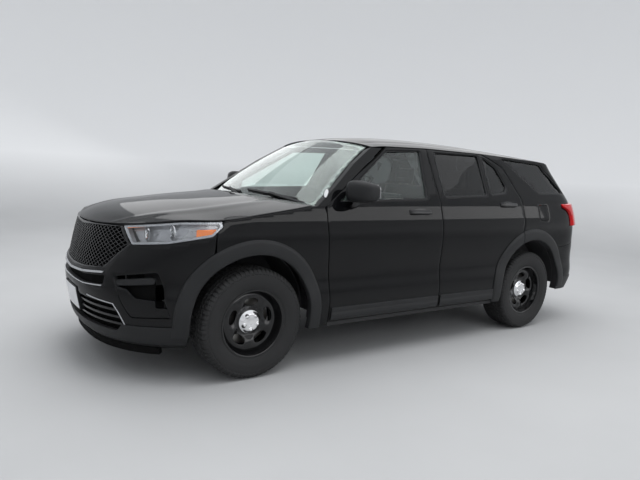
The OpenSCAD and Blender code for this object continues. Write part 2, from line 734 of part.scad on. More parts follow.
// Quarter panels from the rear doors to the liftgate, with the rear side windows cut
gate_shares = [[0.490, 0.720], [0.570, 0.735], [0.700, 0.700], [0.800, 0.665], [0.900, 0.630],
    [0.940, 0.610]];
bumper_top_shares = [[0.30, 0.430], [0.62, 0.490], [0.80, 0.520], [1.0, 0.520]];
quarter_rows = 12;
quarter_cols = 6;
quarter_corner = 5;
function quarter_low(s) = hz(lookup((rear_x - s) / rear_overhang, bumper_top_shares)) + seam;
fuel_shares = [[1.0446, 0.610], [1.0912, 0.610], [1.0912, 0.690], [1.0446, 0.690]];
fuel_deep = 40;
quarter_low_share = 0.500;
quarter_lap = 60;
function quarter_edge(z) = tail_at_y(hy(lookup(z / height, gate_shares)) + 2 * panel_gap, z);
quarter_top_gap = 3;
function quarter_point(f, s, x) = [s, mix(quarter_low(s), roof_edge(x) - quarter_top_gap, f)];
function corner_point(f, z, t) =
    let (s = mix(tail_s, quarter_edge(z), t))
    quarter_point(f, s, skin(s, z)[0]);
// Room of the rear door, up to the gap at its rear edge
function door_room() = concat(
    [for (share = door_row_shares)
        let (z = share == last(door_row_shares) ? height : hz(share))
        [side_line(door_rear_shares, hz(share)) - edge_gap(door_rear_shares, hz(share)), z]],
    [[front_x, height], [front_x, 0], [bx(door_rear_shares[0][1]) - panel_gap / 2, 0]]);
module quarter(side) {
    grid = [for (i = [0:quarter_rows])
        let (f = i / quarter_rows)
        let (z = mix(hz(quarter_low_share), hz(last(gate_shares)[0]), f))
        let (a = side_line(door_rear_shares, z) + quarter_lap)
        concat([for (j = [0:quarter_cols])
                let (s = mix(a, tail_s, j / quarter_cols))
                quarter_point(f, s, s)],
            [for (j = [1:quarter_corner])
                let (t = j / quarter_corner)
                corner_point(f, corner_point(f, z, t)[1], t)])];
    difference() {
        on_skin(grid, 0, quarter_t);
        along_y(door_room(), 0, half_width + over);
        along_y(outline_of(quarter_window_shares), 0, half_width + over);
        arch_cut(rear_arch_x, rear_arch_r + flare_seat);
        on_skin(grown(tail_lamp_grid(), 4 * seam), -over, tail_lamp_t + seam);
        if (side == "left") fuel_patch(panel_gap, -over, fuel_deep);
    }
    if (side == "left") filler_neck();
}
neck_r = 32;
module filler_neck() {
    x = (bx(fuel_shares[0][0]) + bx(fuel_shares[1][0])) / 2;
    z = (hz(fuel_shares[0][1]) + hz(fuel_shares[2][1])) / 2;
    y = skin(x, z + neck_r, fuel_door_t)[1] - 4 * seat_gap;
    bar_y(neck_r, skin(x, z, fuel_deep + panel_gap)[1], y, x, z);
}
module fuel_patch(gap, d0, d1) {
    grid = [for (i = [0:2]) [for (j = [0:2])
        [mix(bx(fuel_shares[0][0]) + gap, bx(fuel_shares[1][0]) - gap, j / 2),
         mix(hz(fuel_shares[0][1]) - gap, hz(fuel_shares[2][1]) + gap, i / 2)]]];
    on_skin(grid, d0, d1);
}
module quarter_panels() {
    color("black") {
        on_side("left") quarter("left");
        on_side("right") quarter("right");
    }
}
module quarter_glass() {
    color("dimgray") mirrored() pane(quarter_window_shares);
}
fuel_door_t = 12;
module fuel_door() {
    color("black") fuel_patch(0, 0, fuel_door_t);
}

// Tail lamps: bent strips round the rear corners
// Columns: rear overhang share and height share of the outer edge, then of the inner edge
tail_lamp_t = 40;
tail_lamp_shares = [
    [0.507, 0.699, 0.516, 0.682],
    [0.640, 0.702, 0.600, 0.660],
    [0.760, 0.705, 0.630, 0.635],
    [0.765, 0.650, 0.638, 0.605],
    [0.765, 0.575, 0.640, 0.575],
];
function on_tail(x_share, z_share) = [at_x(tx(x_share), hz(z_share)), hz(z_share)];
function tail_lamp_grid() =
    [for (i = [0:2]) [for (row = tail_lamp_shares)
        mix(on_tail(row[2], row[3]), on_tail(row[0], row[1]), i / 2)]];
module tail_lamps() {
    color("red") mirrored() on_skin(tail_lamp_grid(), 0, tail_lamp_t);
}

// Rear bumper under the liftgate
bumper_low_share = 0.205;
bumper_rows = 8;
bumper_gap = 4;
// Front end of the bumper: rear overhang share, height share
bumper_end_share = [0.25, 0.42];
module rear_bumper() {
    start = at_x(tx(bumper_end_share[0]), hz(bumper_end_share[1]));
    half = concat([for (k = [0:3]) mix(start, tail_s, k / 3)],
        [for (k = [1:7]) mix(tail_s, -length / 2, k / 7)]);
    top = both_tails([for (s = half) [s, quarter_low(s) - bumper_gap]]);
    low = [for (p = top) [p[0], hz(bumper_low_share)]];
    color("black") difference() {
        on_skin(stacked(low, top, bumper_rows), 0, quarter_t);
        arch_cut(rear_arch_x, rear_arch_r + flare_seat);
    }
}

// Liftgate with its window and roof spoiler
gate_low_share = 0.535;
gate_high_share = 0.925;
gate_rows = 9;
gate_cols = 10;
gate_window_shares = [[-0.60, 0.735], [0.60, 0.735], [0.54, 0.905], [-0.54, 0.905]];
spoiler_t = 30;
spoiler_half_share = 0.569;
spoiler_drop_share = 0.024;
spoiler_shares = [[1.1775, 0.9555], [1.205, 0.948], [1.232, 0.938]];
module liftgate() {
    function grid(d, draw) = [for (i = [0:gate_rows])
        let (z = mix(hz(gate_low_share) + draw, hz(gate_high_share), i / gate_rows))
        let (e = tail_at_y(hy(lookup(z / height, gate_shares)) - draw, z))
        [for (j = [0:gate_cols]) skin(mix(e, -length - e, j / gate_cols), z, d)]];
    function wing(drop) = [for (i = [len(spoiler_shares) - 1:-1:0])
        let (x = bx(spoiler_shares[i][0]))
        let (y = hy(spoiler_half_share))
        [for (j = [0:gate_cols])
            let (u = 1 - 2 * j / gate_cols)
            [x, u * y, hz(spoiler_shares[i][1] - spoiler_drop_share * abs(u) ^ roof_power) - drop]]];
    color("black") difference() {
        union() {
            shell(grid(0, 0), grid(gate_t, edge_draft));
            shell(wing(0), wing(spoiler_t));
        }
        along_x(across(gate_window_shares), -length / 2 - over, rear_x - rear_overhang / 3);
        mirrored() on_skin(grown(gate_lamp_grid(), 2 * seam), -over, gate_lamp_t + seat_gap);
    }
}
gate_pane_depth = 16;
gate_pane_shares = [0.68, 0.72, 0.92];
gate_pane_rows = 5;
gate_pane_cols = 6;
module liftgate_glass() {
    points = across(gate_window_shares);
    e = tail_at_y(hy(gate_pane_shares[0]), hz(gate_window_shares[0][1]));
    grid = [for (i = [0:gate_pane_rows]) [for (j = [0:gate_pane_cols])
        [mix(e, -length - e, j / gate_pane_cols),
         mix(hz(gate_pane_shares[1]), hz(gate_pane_shares[2]), i / gate_pane_rows)]]];
    color("dimgray") intersection() {
        on_skin(grid, gate_pane_depth, gate_pane_depth + glass_t);
        along_x(drawn_in(points, seat_gap), -length / 2 - over, rear_x - rear_overhang / 3);
    }
}
gate_lamp_shares = [[0.40, 0.650], [0.66, 0.650], [0.655, 0.690], [0.40, 0.690]];
gate_lamp_t = 12;
function gate_lamp_grid() = [for (i = [0:1]) [for (j = [0:3])
    let (z = hz(mix(gate_lamp_shares[0][1], gate_lamp_shares[2][1], i)))
    [tail_at_y(hy(mix(gate_lamp_shares[1][0], gate_lamp_shares[0][0], j / 3)), z), z]]];
module liftgate_lamps() {
    color("red") mirrored() on_skin(gate_lamp_grid(), 0, gate_lamp_t);
}

module arch_flares() {
    color("dimgray") mirrored() {
        flare(front_x, [arch_r, flare_r], flare_low_deg, flare_end_deg, flare_stand);
        difference() {
            flare(rear_arch_x, rear_radii, flare_split_deg - flare_lap_deg, rear_flare_end_deg,
                rear_flare_stand);
            along_y(door_room(), 0, half_width + over);
        }
    }
}

// Liners: part rings over the wheels
liner_t = 6;
steer_room = 102.5;
tyre_room = 23;
front_liner_y = wheel_y - tyre_w - steer_room;
liner_out_shares = [0.845, 0.868, 0.950];
front_liner_r = arch_r + flare_t - panel_gap / 2;
door_liner_r = rear_arch_r - panel_gap;
// The rear liner's edge lies in the quarter panel's arch
quarter_liner_r = (rear_arch_r + flare_seat) * cos(180 / arch_sides) - seat_gap - liner_t;
liner_hole_r = 210;
module liner(x, inner_y, outer_y, r, from, to) {
    wide = outer_y - inner_y;
    translate([x, outer_y, arch_z]) rotate([90, 0, 0]) rotate([0, 0, from])
        rotate_extrude(angle = to - from) {
            translate([r, 0]) square([liner_t, wide]);
            translate([liner_hole_r, wide]) square([r + liner_t - liner_hole_r, liner_t]);
        }
}
rear_liner_deg = flare_split_deg + flare_lap_deg;
rear_liner_slit = 0.06;
floor_half = wheel_y - tyre_w / 2 - tyre_room;
rear_liner_y = floor_half + liner_t + seat_gap;
module wheel_liners() {
    color("dimgray") mirrored() {
        difference() {
            liner(front_x, front_liner_y, hy(liner_out_shares[0]), front_liner_r, 0, 180);
            translate([front_x, strut_y, 0]) cylinder(r = strut_r + seat_gap, h = height);
        }
        liner(rear_arch_x, rear_liner_y, hy(liner_out_shares[1]), door_liner_r,
            0, rear_liner_deg - rear_liner_slit);
        liner(rear_arch_x, rear_liner_y, hy(liner_out_shares[2]), quarter_liner_r, rear_liner_deg, 180);
    }
}

// Floor: wheelbase share, height share along its top, from the firewall to the tail
floor_shares = [[0.135, 0.620], [0.190, 0.290], [0.240, 0.187], [0.630, 0.187], [0.680, 0.290],
    [0.860, 0.335], [1.270, 0.345]];
rocker_out_share = 0.962;
rocker_step_share = 0.864;
rocker_in = floor_half - floor_t;
rocker_low_share = 0.166;
rocker_high_share = 0.230;
rocker_x_shares = [0.835, 0.205];
rocker_high = hz(rocker_high_share) - seat_gap;
tunnel_half = 175;
tunnel_out = tunnel_half + floor_t / 2;
tunnel_shares = [[0.160, 0.480], [0.205, 0.300], [0.700, 0.300], [0.860, 0.335]];
cowl_post_share = 0.14;
bracket_gap = 3.7;
bracket_y_shares = [0.30, 0.34];
bracket_z_shares = [0.332, 0.344];
function bumper_in() = max([for (z = bracket_z_shares)
    skin(tail_at_y(hy(bracket_y_shares[1]), hz(z)), hz(z), quarter_t)[0]]) + bracket_gap;
// A line of points moved out by a thickness, down and forward
function turn(v) = [-v[1], v[0]] / norm(v);
function moved_out(line, t) = [for (i = [0:len(line) - 1])
    let (a = turn(line[max(i, 1)] - line[max(i, 1) - 1]))
    let (b = turn(line[min(i + 1, len(line) - 1)] - line[min(i + 1, len(line) - 1) - 1]))
    line[i] + (a + b) * t / (1 + a * b)];
module sheet(shares, y0, y1) {
    top = outline_of(shares);
    under = moved_out(top, floor_t);
    along_y(concat(top, [for (k = [len(under) - 1:-1:0]) under[k]]), y0, y1);
}
function floor_under(x) =
    let (line = moved_out(outline_of(floor_shares), floor_t))
    lookup(-x, [for (p = line) [-p[0], p[1]]]);
module underbody() {
    wall = concat(outline_of(tunnel_shares),
        [for (k = [5:-1:1]) [bx(floor_shares[k][0]), hz(floor_shares[k][1]) - floor_t / 2]]);
    sill_z = hz(door_low_share) - panel_gap;
    color("dimgray") {
        mirrored() {
            sheet(floor_shares, tunnel_half, floor_half);
            along_y(wall, tunnel_half - floor_t / 2, tunnel_out);
            along_x([[rocker_in, hz(rocker_low_share)], [hy(rocker_out_share), hz(rocker_low_share)],
                [hy(rocker_out_share), sill_z], [hy(rocker_step_share), sill_z],
                [hy(rocker_step_share), rocker_high], [rocker_in, rocker_high]],
                bx(rocker_x_shares[0]), bx(rocker_x_shares[1]));
        }
        sheet(concat([floor_shares[0]], tunnel_shares, [last(floor_shares)]), -tunnel_half, tunnel_half);
        // Seats of the cowl and of the rear bumper
        block([bx(floor_shares[0][0]), -hy(cowl_post_share), hz(floor_shares[0][1]) - floor_t],
            [windshield_point(0, 0, 0)[0], hy(cowl_post_share),
             windshield_point(cowl_post_share, 0, 0)[2] - glass_t - cowl_t - seat_gap]);
        mirrored() block([bumper_in(), hy(bracket_y_shares[0]), hz(bracket_z_shares[0])],
            [bx(last(floor_shares)[0]) + floor_t, hy(bracket_y_shares[1]), hz(bracket_z_shares[1])]);
    }
}

// Pillars and rails behind the doors
// A pillars outside the windshield, on the skin, from the hood's shut line up
a_foot_share = 0.16;
a_pillar_shares = [[0.226, 0.752], [0.305, 0.853], [0.3790, 0.9310]];
module body_frame() {
    foot = bx(a_foot_share);
    a_front = concat([[foot, shut_line(foot) - panel_gap + seam]], outline_of(a_pillar_shares));
    a_rear = [for (p = a_front)
        [side_line(door_front_shares, p[1]) + edge_gap(door_front_shares, p[1]), p[1]]];
    color("dimgray") mirrored() {
        on_skin(ruled(a_front, a_rear, 2), 0, frame_t);
        b_pillar();
        roof_rail();
    }
    color("dimgray") front_frame();
}
// Front rails, radiator panel and the stop under the hood's nose
rail_wide = 75;
rail_z_shares = [0.272, 0.323];
radiator_t = 45;
radiator_half_share = 0.44;
radiator_z_shares = [0.228, 0.555];
stop_half = 60;
module front_frame() {
    nose = nx(hood_shares[5][2]);
    rail_y = front_liner_y - liner_t - seat_gap;
    lean = (bx(floor_shares[0][0]) - bx(floor_shares[1][0])) / hz(floor_shares[0][1] - floor_shares[1][1]);
    slant = sqrt(1 + lean ^ 2);
    back = bx(floor_shares[1][0]) + lean * hz(rail_z_shares[1] - floor_shares[1][1])
        + floor_t * slant + seat_gap;
    block([nose - radiator_t, -hy(radiator_half_share), hz(radiator_z_shares[0])],
        [nose, hy(radiator_half_share), hz(radiator_z_shares[1])]);
    block([nose - radiator_t, -stop_half, hz(radiator_z_shares[1]) - seam],
        [nose, stop_half, hz(hood_shares[5][3]) - hood_t - 4 * seat_gap]);
    mirrored() block([back, rail_y - rail_wide, hz(rail_z_shares[0])],
        [nose - seam, rail_y, hz(rail_z_shares[1])]);
}
b_pillar_half = 55;
b_low_share = 0.225;
b_high_share = 0.960;
module b_pillar() {
    function grid(more) = [for (share = door_row_shares) if (share > b_low_share && share < b_high_share)
        let (x = side_line(pillar_seam_shares, hz(share)))
        [for (j = [0:2])
            let (z = door_z(share, x + b_pillar_half * (1 - j)))
            skin(x + b_pillar_half * (1 - j), z, door_depth(z) + 2 * seat_gap + more)]];
    shell(grid(0), grid(pillar_t));
}
rail_high = 60;
rail_deep = 48;
rail_cols = 8;
rail_x_shares = [0.40, 1.16];
module roof_rail() {
    low = [for (j = [0:rail_cols])
        let (x = mix(bx(rail_x_shares[0]), bx(rail_x_shares[1]), j / rail_cols))
        [x, roof_edge(x) - rail_high]];
    high = [for (p = low) [p[0], p[1] + rail_deep]];
    on_skin(stacked(low, high, 1), quarter_t + trim_back_gap, quarter_t + pillar_t);
}

// Cowl between the hood and the windshield
cowl_t = 20;
cowl_reach = 28;
cowl_cols = 10;
module cowl() {
    function grid(drop) = [for (i = [0, 1]) [for (j = [0:cowl_cols])
        let (w = windshield_point(1 - 2 * j / cowl_cols, 0, 0))
        [w[0] + (i == 1 ? cowl_reach : -cowl_t), w[1], w[2] - glass_t - drop]]];
    color("dimgray") shell(grid(0), grid(cowl_t));
}

// Engine with its gearbox, as one plain block on two mounts
// Front overhang shares and height shares of the block; the mounts reach the front rails
engine_x_shares = [-0.34, 0.36];
engine_z_shares = [0.22, 0.575];
mount_long = 115.4;
gearbox_r = 105;
gearbox_z_share = 0.222;
gearbox_x_shares = [0.42, -0.33];
rail_in = front_liner_y - liner_t - rail_wide - seat_gap;
module engine() {
    half = rail_in - seat_gap - mount_long;
    color("gray") {
        block([nx(engine_x_shares[0]), -half, hz(engine_z_shares[0])],
            [nx(engine_x_shares[1]), half, hz(engine_z_shares[1])]);
        mirrored() block([front_x - post_half, half - seam, hz(rail_z_shares[0])],
            [front_x + post_half, rail_in - seat_gap, hz(rail_z_shares[1])]);
        bar_x(gearbox_r, bx(gearbox_x_shares[0]), nx(gearbox_x_shares[1]), 0, hz(gearbox_z_share));
    }
}
shaft_r = 35;
half_shaft_r = 21;
diff_r = 105;
diff_lap = 21;
module drive_line() {
    color("gray") {
        bar_x(shaft_r, rear_x + diff_r - diff_lap, bx(gearbox_x_shares[0]) - seat_gap,
            0, hz(gearbox_z_share));
        bar_y(diff_r, -diff_r, diff_r, rear_x, tyre_r);
        mirrored() bar_y(half_shaft_r, diff_r - diff_lap, upright_y - arm_t - seat_gap, rear_x, tyre_r);
    }
}
// Exhaust: rear overhang shares of the muffler and of the pipes' ends, half-width shares
pipe_r = 32;
muffler_half = 95;
muffler_low = 48;
muffler_high = 128;
hanger_r = 8;
muffler_x_share = 0.62;
pipe_end_share = 0.97;
pipe_start_share = 0.25;
exhaust_y_share = -0.40;
tail_pipe_y_share = 0.42;
hanger_y_share = 0.30;
muffler_half_share = 0.50;
module exhaust() {
    z = hz(rocker_low_share) - pipe_r;
    mx = tx(muffler_x_share);
    color("silver") {
        bar_x(pipe_r, mx, bx(pipe_start_share), hy(exhaust_y_share), z);
        block([mx - muffler_half, -hy(muffler_half_share), z - muffler_low],
            [mx + muffler_half, hy(muffler_half_share), z + muffler_high]);
        mirrored() bar_x(pipe_r, tx(pipe_end_share), mx, hy(tail_pipe_y_share), z);
        mirrored() translate([mx, hy(hanger_y_share), z])
            cylinder(r = hanger_r, h = floor_under(mx) - seat_gap - z);
    }
}
tank_x_shares = [0.845, 0.70];
tank_rooms = [9.5, 63.5];
tank_low_share = 0.155;
module fuel_tank() {
    x0 = bx(tank_x_shares[0]);
    x1 = bx(tank_x_shares[1]);
    color("black") along_y([[x0, hz(tank_low_share)], [x1, hz(tank_low_share)],
        [x1, floor_under(x1) - 2 * seat_gap], [x0, floor_under(x0) - 2 * seat_gap]],
        tunnel_out + tank_rooms[0], rocker_in - tank_rooms[1]);
}

// Steered knuckles and the rigid axles that carry them
king_y = wheel_y - tyre_w / 3;
king_half = 30;
king_high = 90;
arm_t = 22;
arm_share = 0.78;
arm_z = tyre_r - rim_r * arm_share;
arm_half = 34;
hub_share = 0.10;
hub_out = wheel_y + rim_w * hub_share;
strut_r = 42;
strut_room = 4;
strut_y = wheel_y - tyre_w - strut_room;
strut_top_share = 0.54;
frame_half = 90;
post_half = 40;
cross_half_shares = [0.46, 0.42];
arm_y_share = 0.40;
module front_axle() {
    y = hy(cross_half_shares[0]);
    color("dimgray") {
        block([front_x - frame_half, -y, arm_z - arm_t], [front_x + frame_half, y, arm_z + arm_t]);
        mirrored() {
            block([front_x - arm_half, hy(arm_y_share), arm_z - arm_t],
                [front_x + arm_half, king_y + king_half, arm_z]);
            block([front_x - post_half, rail_in, arm_z],
                [front_x + post_half, rail_in + rail_wide, hz(rail_z_shares[0]) - seat_gap]);
            translate([front_x, strut_y, arm_z - arm_t / 2])
                cylinder(r = strut_r, h = hz(strut_top_share) - arm_z);
        }
    }
}
upright_share = 0.60;
upright_y = wheel_y - tyre_w * upright_share;
upright_half = 60;
rear_post_y_shares = [0.44, 0.50];
module rear_axle() {
    y = hy(cross_half_shares[1]);
    back = rear_x - frame_half * 2;
    post_top = floor_under(rear_x - frame_half) - 2 * seat_gap;
    color("dimgray") {
        block([back, -y, arm_z - arm_t], [rear_x - frame_half / 2 - diff_r, y, arm_z + arm_t]);
        mirrored() {
            block([back, hy(arm_y_share), arm_z - arm_t], [rear_x - arm_half, upright_y, arm_z + arm_t]);
            block([back, hy(rear_post_y_shares[0]), arm_z],
                [rear_x - frame_half, hy(rear_post_y_shares[1]), post_top]);
            block([back, upright_y - arm_t, arm_z - arm_t],
                [rear_x + upright_half, upright_y, tyre_r + upright_half]);
            bar_y(spindle_r, upright_y - arm_t / 2, hub_out, rear_x, tyre_r);
        }
    }
}
module knuckle(side) {
    color("dimgray") on_side(side) {
        bar_y(spindle_r, king_y - king_half / 2, hub_out, front_x, tyre_r);
        block([front_x - king_half, king_y - king_half, arm_z + seat_gap],
            [front_x + king_half, king_y + king_half, tyre_r + king_high]);
    }
}

// Wheels, drawn about their own axle with the outer face towards +Z
flange_high = 16;
barrel_t = 9;
disc_face = 36;
face_r = 90;
hub_r = 62;
hub_deep = 43.2;
dish_share = 0.79;
lip_share = 0.94;
// Vents: share of the rim's radius and angle of each corner
vents = 5;
vent_shares = [
    [0.51, -13], [0.51, 13], [0.60, 21], [0.70, 19], [0.735, 10], [0.74, 0], [0.735, -10], [0.70, -19],
    [0.60, -21],
];
hub_clear = 0.3;
brake_r_share = 0.74;
brake_t = 28;
module wheel_at(front, side) {
    translate([front ? front_x : rear_x, side == "left" ? wheel_y : -wheel_y, tyre_r])
        rotate([side == "left" ? -90 : 90, 0, 0]) children();
}
shoulder_r = 34;
wall_bulge_share = 0.62;
bead_shares = [0.47, 0.50, 0.97];
module tyre(front, side) {
    h = tyre_w / 2;
    bead = rim_r + seat_gap;
    mid = mix(bead, tyre_r, wall_bulge_share);
    wall = [[bead, rim_w * bead_shares[0]], [bead + flange_high, rim_w * bead_shares[1]],
        [mid - shoulder_r, h * bead_shares[2]], [mid, h]];
    arc = [for (k = [0:4])
        [tyre_r - shoulder_r + shoulder_r * sin(90 * k / 4), h - shoulder_r + shoulder_r * cos(90 * k / 4)]];
    half = concat(wall, arc);
    outline = concat(half, [for (k = [len(half) - 1:-1:0]) [half[k][0], -half[k][1]]]);
    color("black") wheel_at(front, side) rotate_extrude() polygon(outline);
}
module rim(front, side) {
    h = rim_w / 2;
    dish = rim_r * dish_share;
    well = rim_r - barrel_t * 2;
    edge = rim_r + flange_high / 2;
    bore = spindle_r + hub_clear;
    vent = [for (p = vent_shares) rim_r * p[0] * [cos(p[1]), sin(p[1])]];
    color("black") wheel_at(front, side) {
        difference() {
            rotate_extrude() polygon([
                [rim_r, -h * lip_share], [rim_r, h * lip_share], [edge, h], [rim_r - barrel_t, h],
                [well, disc_face + barrel_t * 2], [dish, disc_face + barrel_t * 3],
                [face_r, disc_face], [bore, disc_face], [bore, -hub_deep],
                [hub_r, -hub_deep], [hub_r, disc_face - barrel_t * 2],
                [dish, disc_face + barrel_t], [well, disc_face], [well, -h], [edge, -h]]);
            for (k = [0:vents - 1]) rotate(360 / vents * k) linear_extrude(rim_w) polygon(vent);
        }
        translate([0, 0, -hub_deep]) difference() {
            cylinder(r = rim_r * brake_r_share, h = brake_t);
            translate([0, 0, -over]) cylinder(r = bore, h = over * 3);
        }
    }
}
cap_r = 86;
cap_high = 34;
cap_edge = 14;
cap_top_r = 62;
module cap(front, side) {
    color("silver") wheel_at(front, side) translate([0, 0, disc_face + seat_gap])
        rotate_extrude()
            polygon([[0, 0], [cap_r, 0], [cap_r, cap_edge], [cap_top_r, cap_high], [0, cap_high]]);
}

// Seats: side outline as shares of the seat's depth and height
seat_deep = 640;
seat_high = 780;
seat_room = 8.5;
seat_wide = rocker_in - tunnel_out - 2 * seat_room;
seat_y = (rocker_in + tunnel_out) / 2;
seat_shares = [
    [1.0, 0], [1.0, 0.26], [0.93, 0.31], [0.36, 0.27], [0.16, 0.98], [0.02, 1.0], [-0.02, 0.94], [0.16, 0.10],
    [0.20, 0],
];
front_seat_x_share = 0.555;
rear_seat_x_share = 0.860;
rear_seat_foot = bx(rear_seat_x_share) + last(seat_shares)[0] * seat_deep;
rear_seat_z = hz(lookup(share_at(rear_seat_foot), tunnel_shares)) + seat_gap;
rear_head_y_share = 0.38;
head_foot_share = 0.97;
head_wide = 260;
head_high = 180;
head_deep = 90;
module seat_shape(x, y, wide, z) {
    outline = [for (p = seat_shares) [p[0] * seat_deep, p[1] * seat_high]];
    translate([x, y, z]) along_y(outline, -wide / 2, wide / 2);
}
module headrest(x, y, z) {
    translate([x, y - head_wide / 2, z + seat_high * head_foot_share])
        cube([head_deep, head_wide, head_high]);
}
module seats() {
    floor_z = hz(door_low_share) + seat_gap;
    color("dimgray") {
        mirrored() {
            seat_shape(bx(front_seat_x_share), seat_y, seat_wide, floor_z);
            headrest(bx(front_seat_x_share), seat_y, floor_z);
        }
        seat_shape(bx(rear_seat_x_share), 0, 2 * (rocker_in - seat_room), rear_seat_z);
        mirrored() headrest(bx(rear_seat_x_share), hy(rear_head_y_share), rear_seat_z);
    }
}

// Dashboard: wheelbase share, height share
dash_shares = [
    [0.185, 0.645], [0.225, 0.662], [0.300, 0.640], [0.330, 0.610], [0.330, 0.560], [0.280, 0.480],
    [0.185, 0.450],
];
dash_half_share = 0.76;
console_half = 140;
console_x_shares = [0.56, 0.27];
console_top_share = 0.50;
module dashboard() {
    color("dimgray") {
        along_y(outline_of(dash_shares), -hy(dash_half_share), hy(dash_half_share));
        block([bx(console_x_shares[0]), -console_half, hz(tunnel_shares[1][1]) + seat_gap],
            [bx(console_x_shares[1]), console_half, hz(console_top_share)]);
        steering_place() translate([0, 0, -column_long]) cylinder(r = column_r, h = column_long - seat_gap);
    }
}

// Steering wheel on its column
wheel_place_shares = [0.385, 0.44, 0.610];
wheel_tilt = 25;
wheel_ring_r = 185;
wheel_grip_r = 16;
wheel_hub_r = 63;
spoke_t = 11;
column_r = 24;
column_long = 260;
module steering_place() {
    translate([bx(wheel_place_shares[0]), hy(wheel_place_shares[1]), hz(wheel_place_shares[2])])
        rotate([0, wheel_tilt - 90, 0]) children();
}
module steering_wheel() {
    color("black") steering_place() {
        rotate_extrude() translate([wheel_ring_r, 0]) circle(r = wheel_grip_r);
        cylinder(r = wheel_hub_r, h = wheel_grip_r);
        for (a = [0, 120, 240])
            rotate(a) translate([0, -wheel_grip_r, 0]) cube([wheel_ring_r, wheel_grip_r * 2, spoke_t]);
    }
}

underbody();
body_frame();
roof();
windshield();
cowl();
front_fascia();
grille();
lower_trim();
headlamp_housings();
headlamp_lenses();
fenders();
quarter_panels();
quarter_glass();
rear_bumper();
tail_lamps();
arch_flares();
wheel_liners();
engine();
drive_line();
exhaust();
fuel_tank();
front_axle();
rear_axle();
seats();
dashboard();
hood();
liftgate();
liftgate_glass();
liftgate_lamps();
fuel_door();
steering_wheel();
front_door("left");  // front_door_left
front_glass("left");  // front_glass_left
front_trim("left");  // front_trim_left
front_door("right");  // front_door_right
front_glass("right");  // front_glass_right
front_trim("right");  // front_trim_right
rear_door("left");  // rear_door_left
rear_glass("left");  // rear_glass_left
rear_trim("left");  // rear_trim_left
rear_door("right");  // rear_door_right
rear_glass("right");  // rear_glass_right
rear_trim("right");  // rear_trim_right
knuckle("left");  // knuckle_left
knuckle("right");  // knuckle_right
tyre(true, "left");  // tyre_front_left
tyre(true, "right");  // tyre_front_right
tyre(false, "left");  // tyre_rear_left
tyre(false, "right");  // tyre_rear_right
rim(true, "left");  // rim_front_left
rim(true, "right");  // rim_front_right
rim(false, "left");  // rim_rear_left
rim(false, "right");  // rim_rear_right
cap(true, "left");  // cap_front_left
cap(true, "right");  // cap_front_right
cap(false, "left");  // cap_rear_left
cap(false, "right");  // cap_rear_right
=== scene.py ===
"""Studio scene of a black police sport utility vehicle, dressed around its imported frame."""

import logging
import math
from dataclasses import dataclass, field
from enum import Enum
from typing import Callable, Sequence

import bpy
import numpy as np
from mathutils import Matrix, Vector
from mathutils.geometry import delaunay_2d_cdt


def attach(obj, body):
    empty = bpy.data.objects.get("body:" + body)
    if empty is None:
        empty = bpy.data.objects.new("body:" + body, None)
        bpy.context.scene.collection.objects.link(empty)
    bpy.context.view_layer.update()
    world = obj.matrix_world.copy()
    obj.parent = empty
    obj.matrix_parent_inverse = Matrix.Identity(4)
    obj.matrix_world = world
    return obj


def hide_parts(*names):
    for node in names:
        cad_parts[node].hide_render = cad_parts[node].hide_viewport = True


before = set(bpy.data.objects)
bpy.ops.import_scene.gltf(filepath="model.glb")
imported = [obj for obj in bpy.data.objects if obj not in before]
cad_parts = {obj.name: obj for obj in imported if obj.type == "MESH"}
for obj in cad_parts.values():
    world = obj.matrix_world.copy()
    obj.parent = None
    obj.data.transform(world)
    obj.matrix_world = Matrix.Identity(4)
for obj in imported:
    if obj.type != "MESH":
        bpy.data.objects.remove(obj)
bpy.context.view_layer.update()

LOG = logging.getLogger("vehicle")
MM = 0.001
FULL_TURN = 360.0
Array = np.ndarray
Color = tuple[float, float, float]
Mapping = Callable[[Array, Array], Array]


class Side(Enum):
    """Left or right side of the vehicle, with the sign of its crosswise axis."""

    LEFT = 1.0
    RIGHT = -1.0

    @property
    def word(self) -> str:
        """Side's name as the frame's bodies spell it."""
        return self.name.lower()

    @property
    def flip(self) -> tuple[float, float, float]:
        """Factors that carry points of the left side to this side."""
        return 1.0, self.value, 1.0


class Grain(Enum):
    """Kind of fine relief that a finish carries."""

    PEEL = "peel"
    MOULDED = "moulded"
    WEAVE = "weave"
    CAST = "cast"


# ---------------------------------------------------------------- finishes


@dataclass
class Graph:
    """Node tree of a material, with a short way to add and fill nodes."""

    tree: bpy.types.NodeTree

    def add(self, kind: str, inputs: dict[str | int, object]) -> bpy.types.Node:
        """Adds a node with its inputs filled; its kind is the type's name without ShaderNode."""
        return self.fill(self.tree.nodes.new(f"ShaderNode{kind}"), inputs)

    def fill(self, node: bpy.types.Node, inputs: dict[str | int, object]) -> bpy.types.Node:
        """Sets or links inputs of a node.

        Args:
            node: Node to fill.
            inputs: For each input its value, or the socket that it is linked from.
        Returns:
            The same node.
        """
        for name, value in inputs.items():
            if isinstance(value, bpy.types.NodeSocket):
                self.tree.links.new(value, node.inputs[name])
            else:
                node.inputs[name].default_value = value
        return node


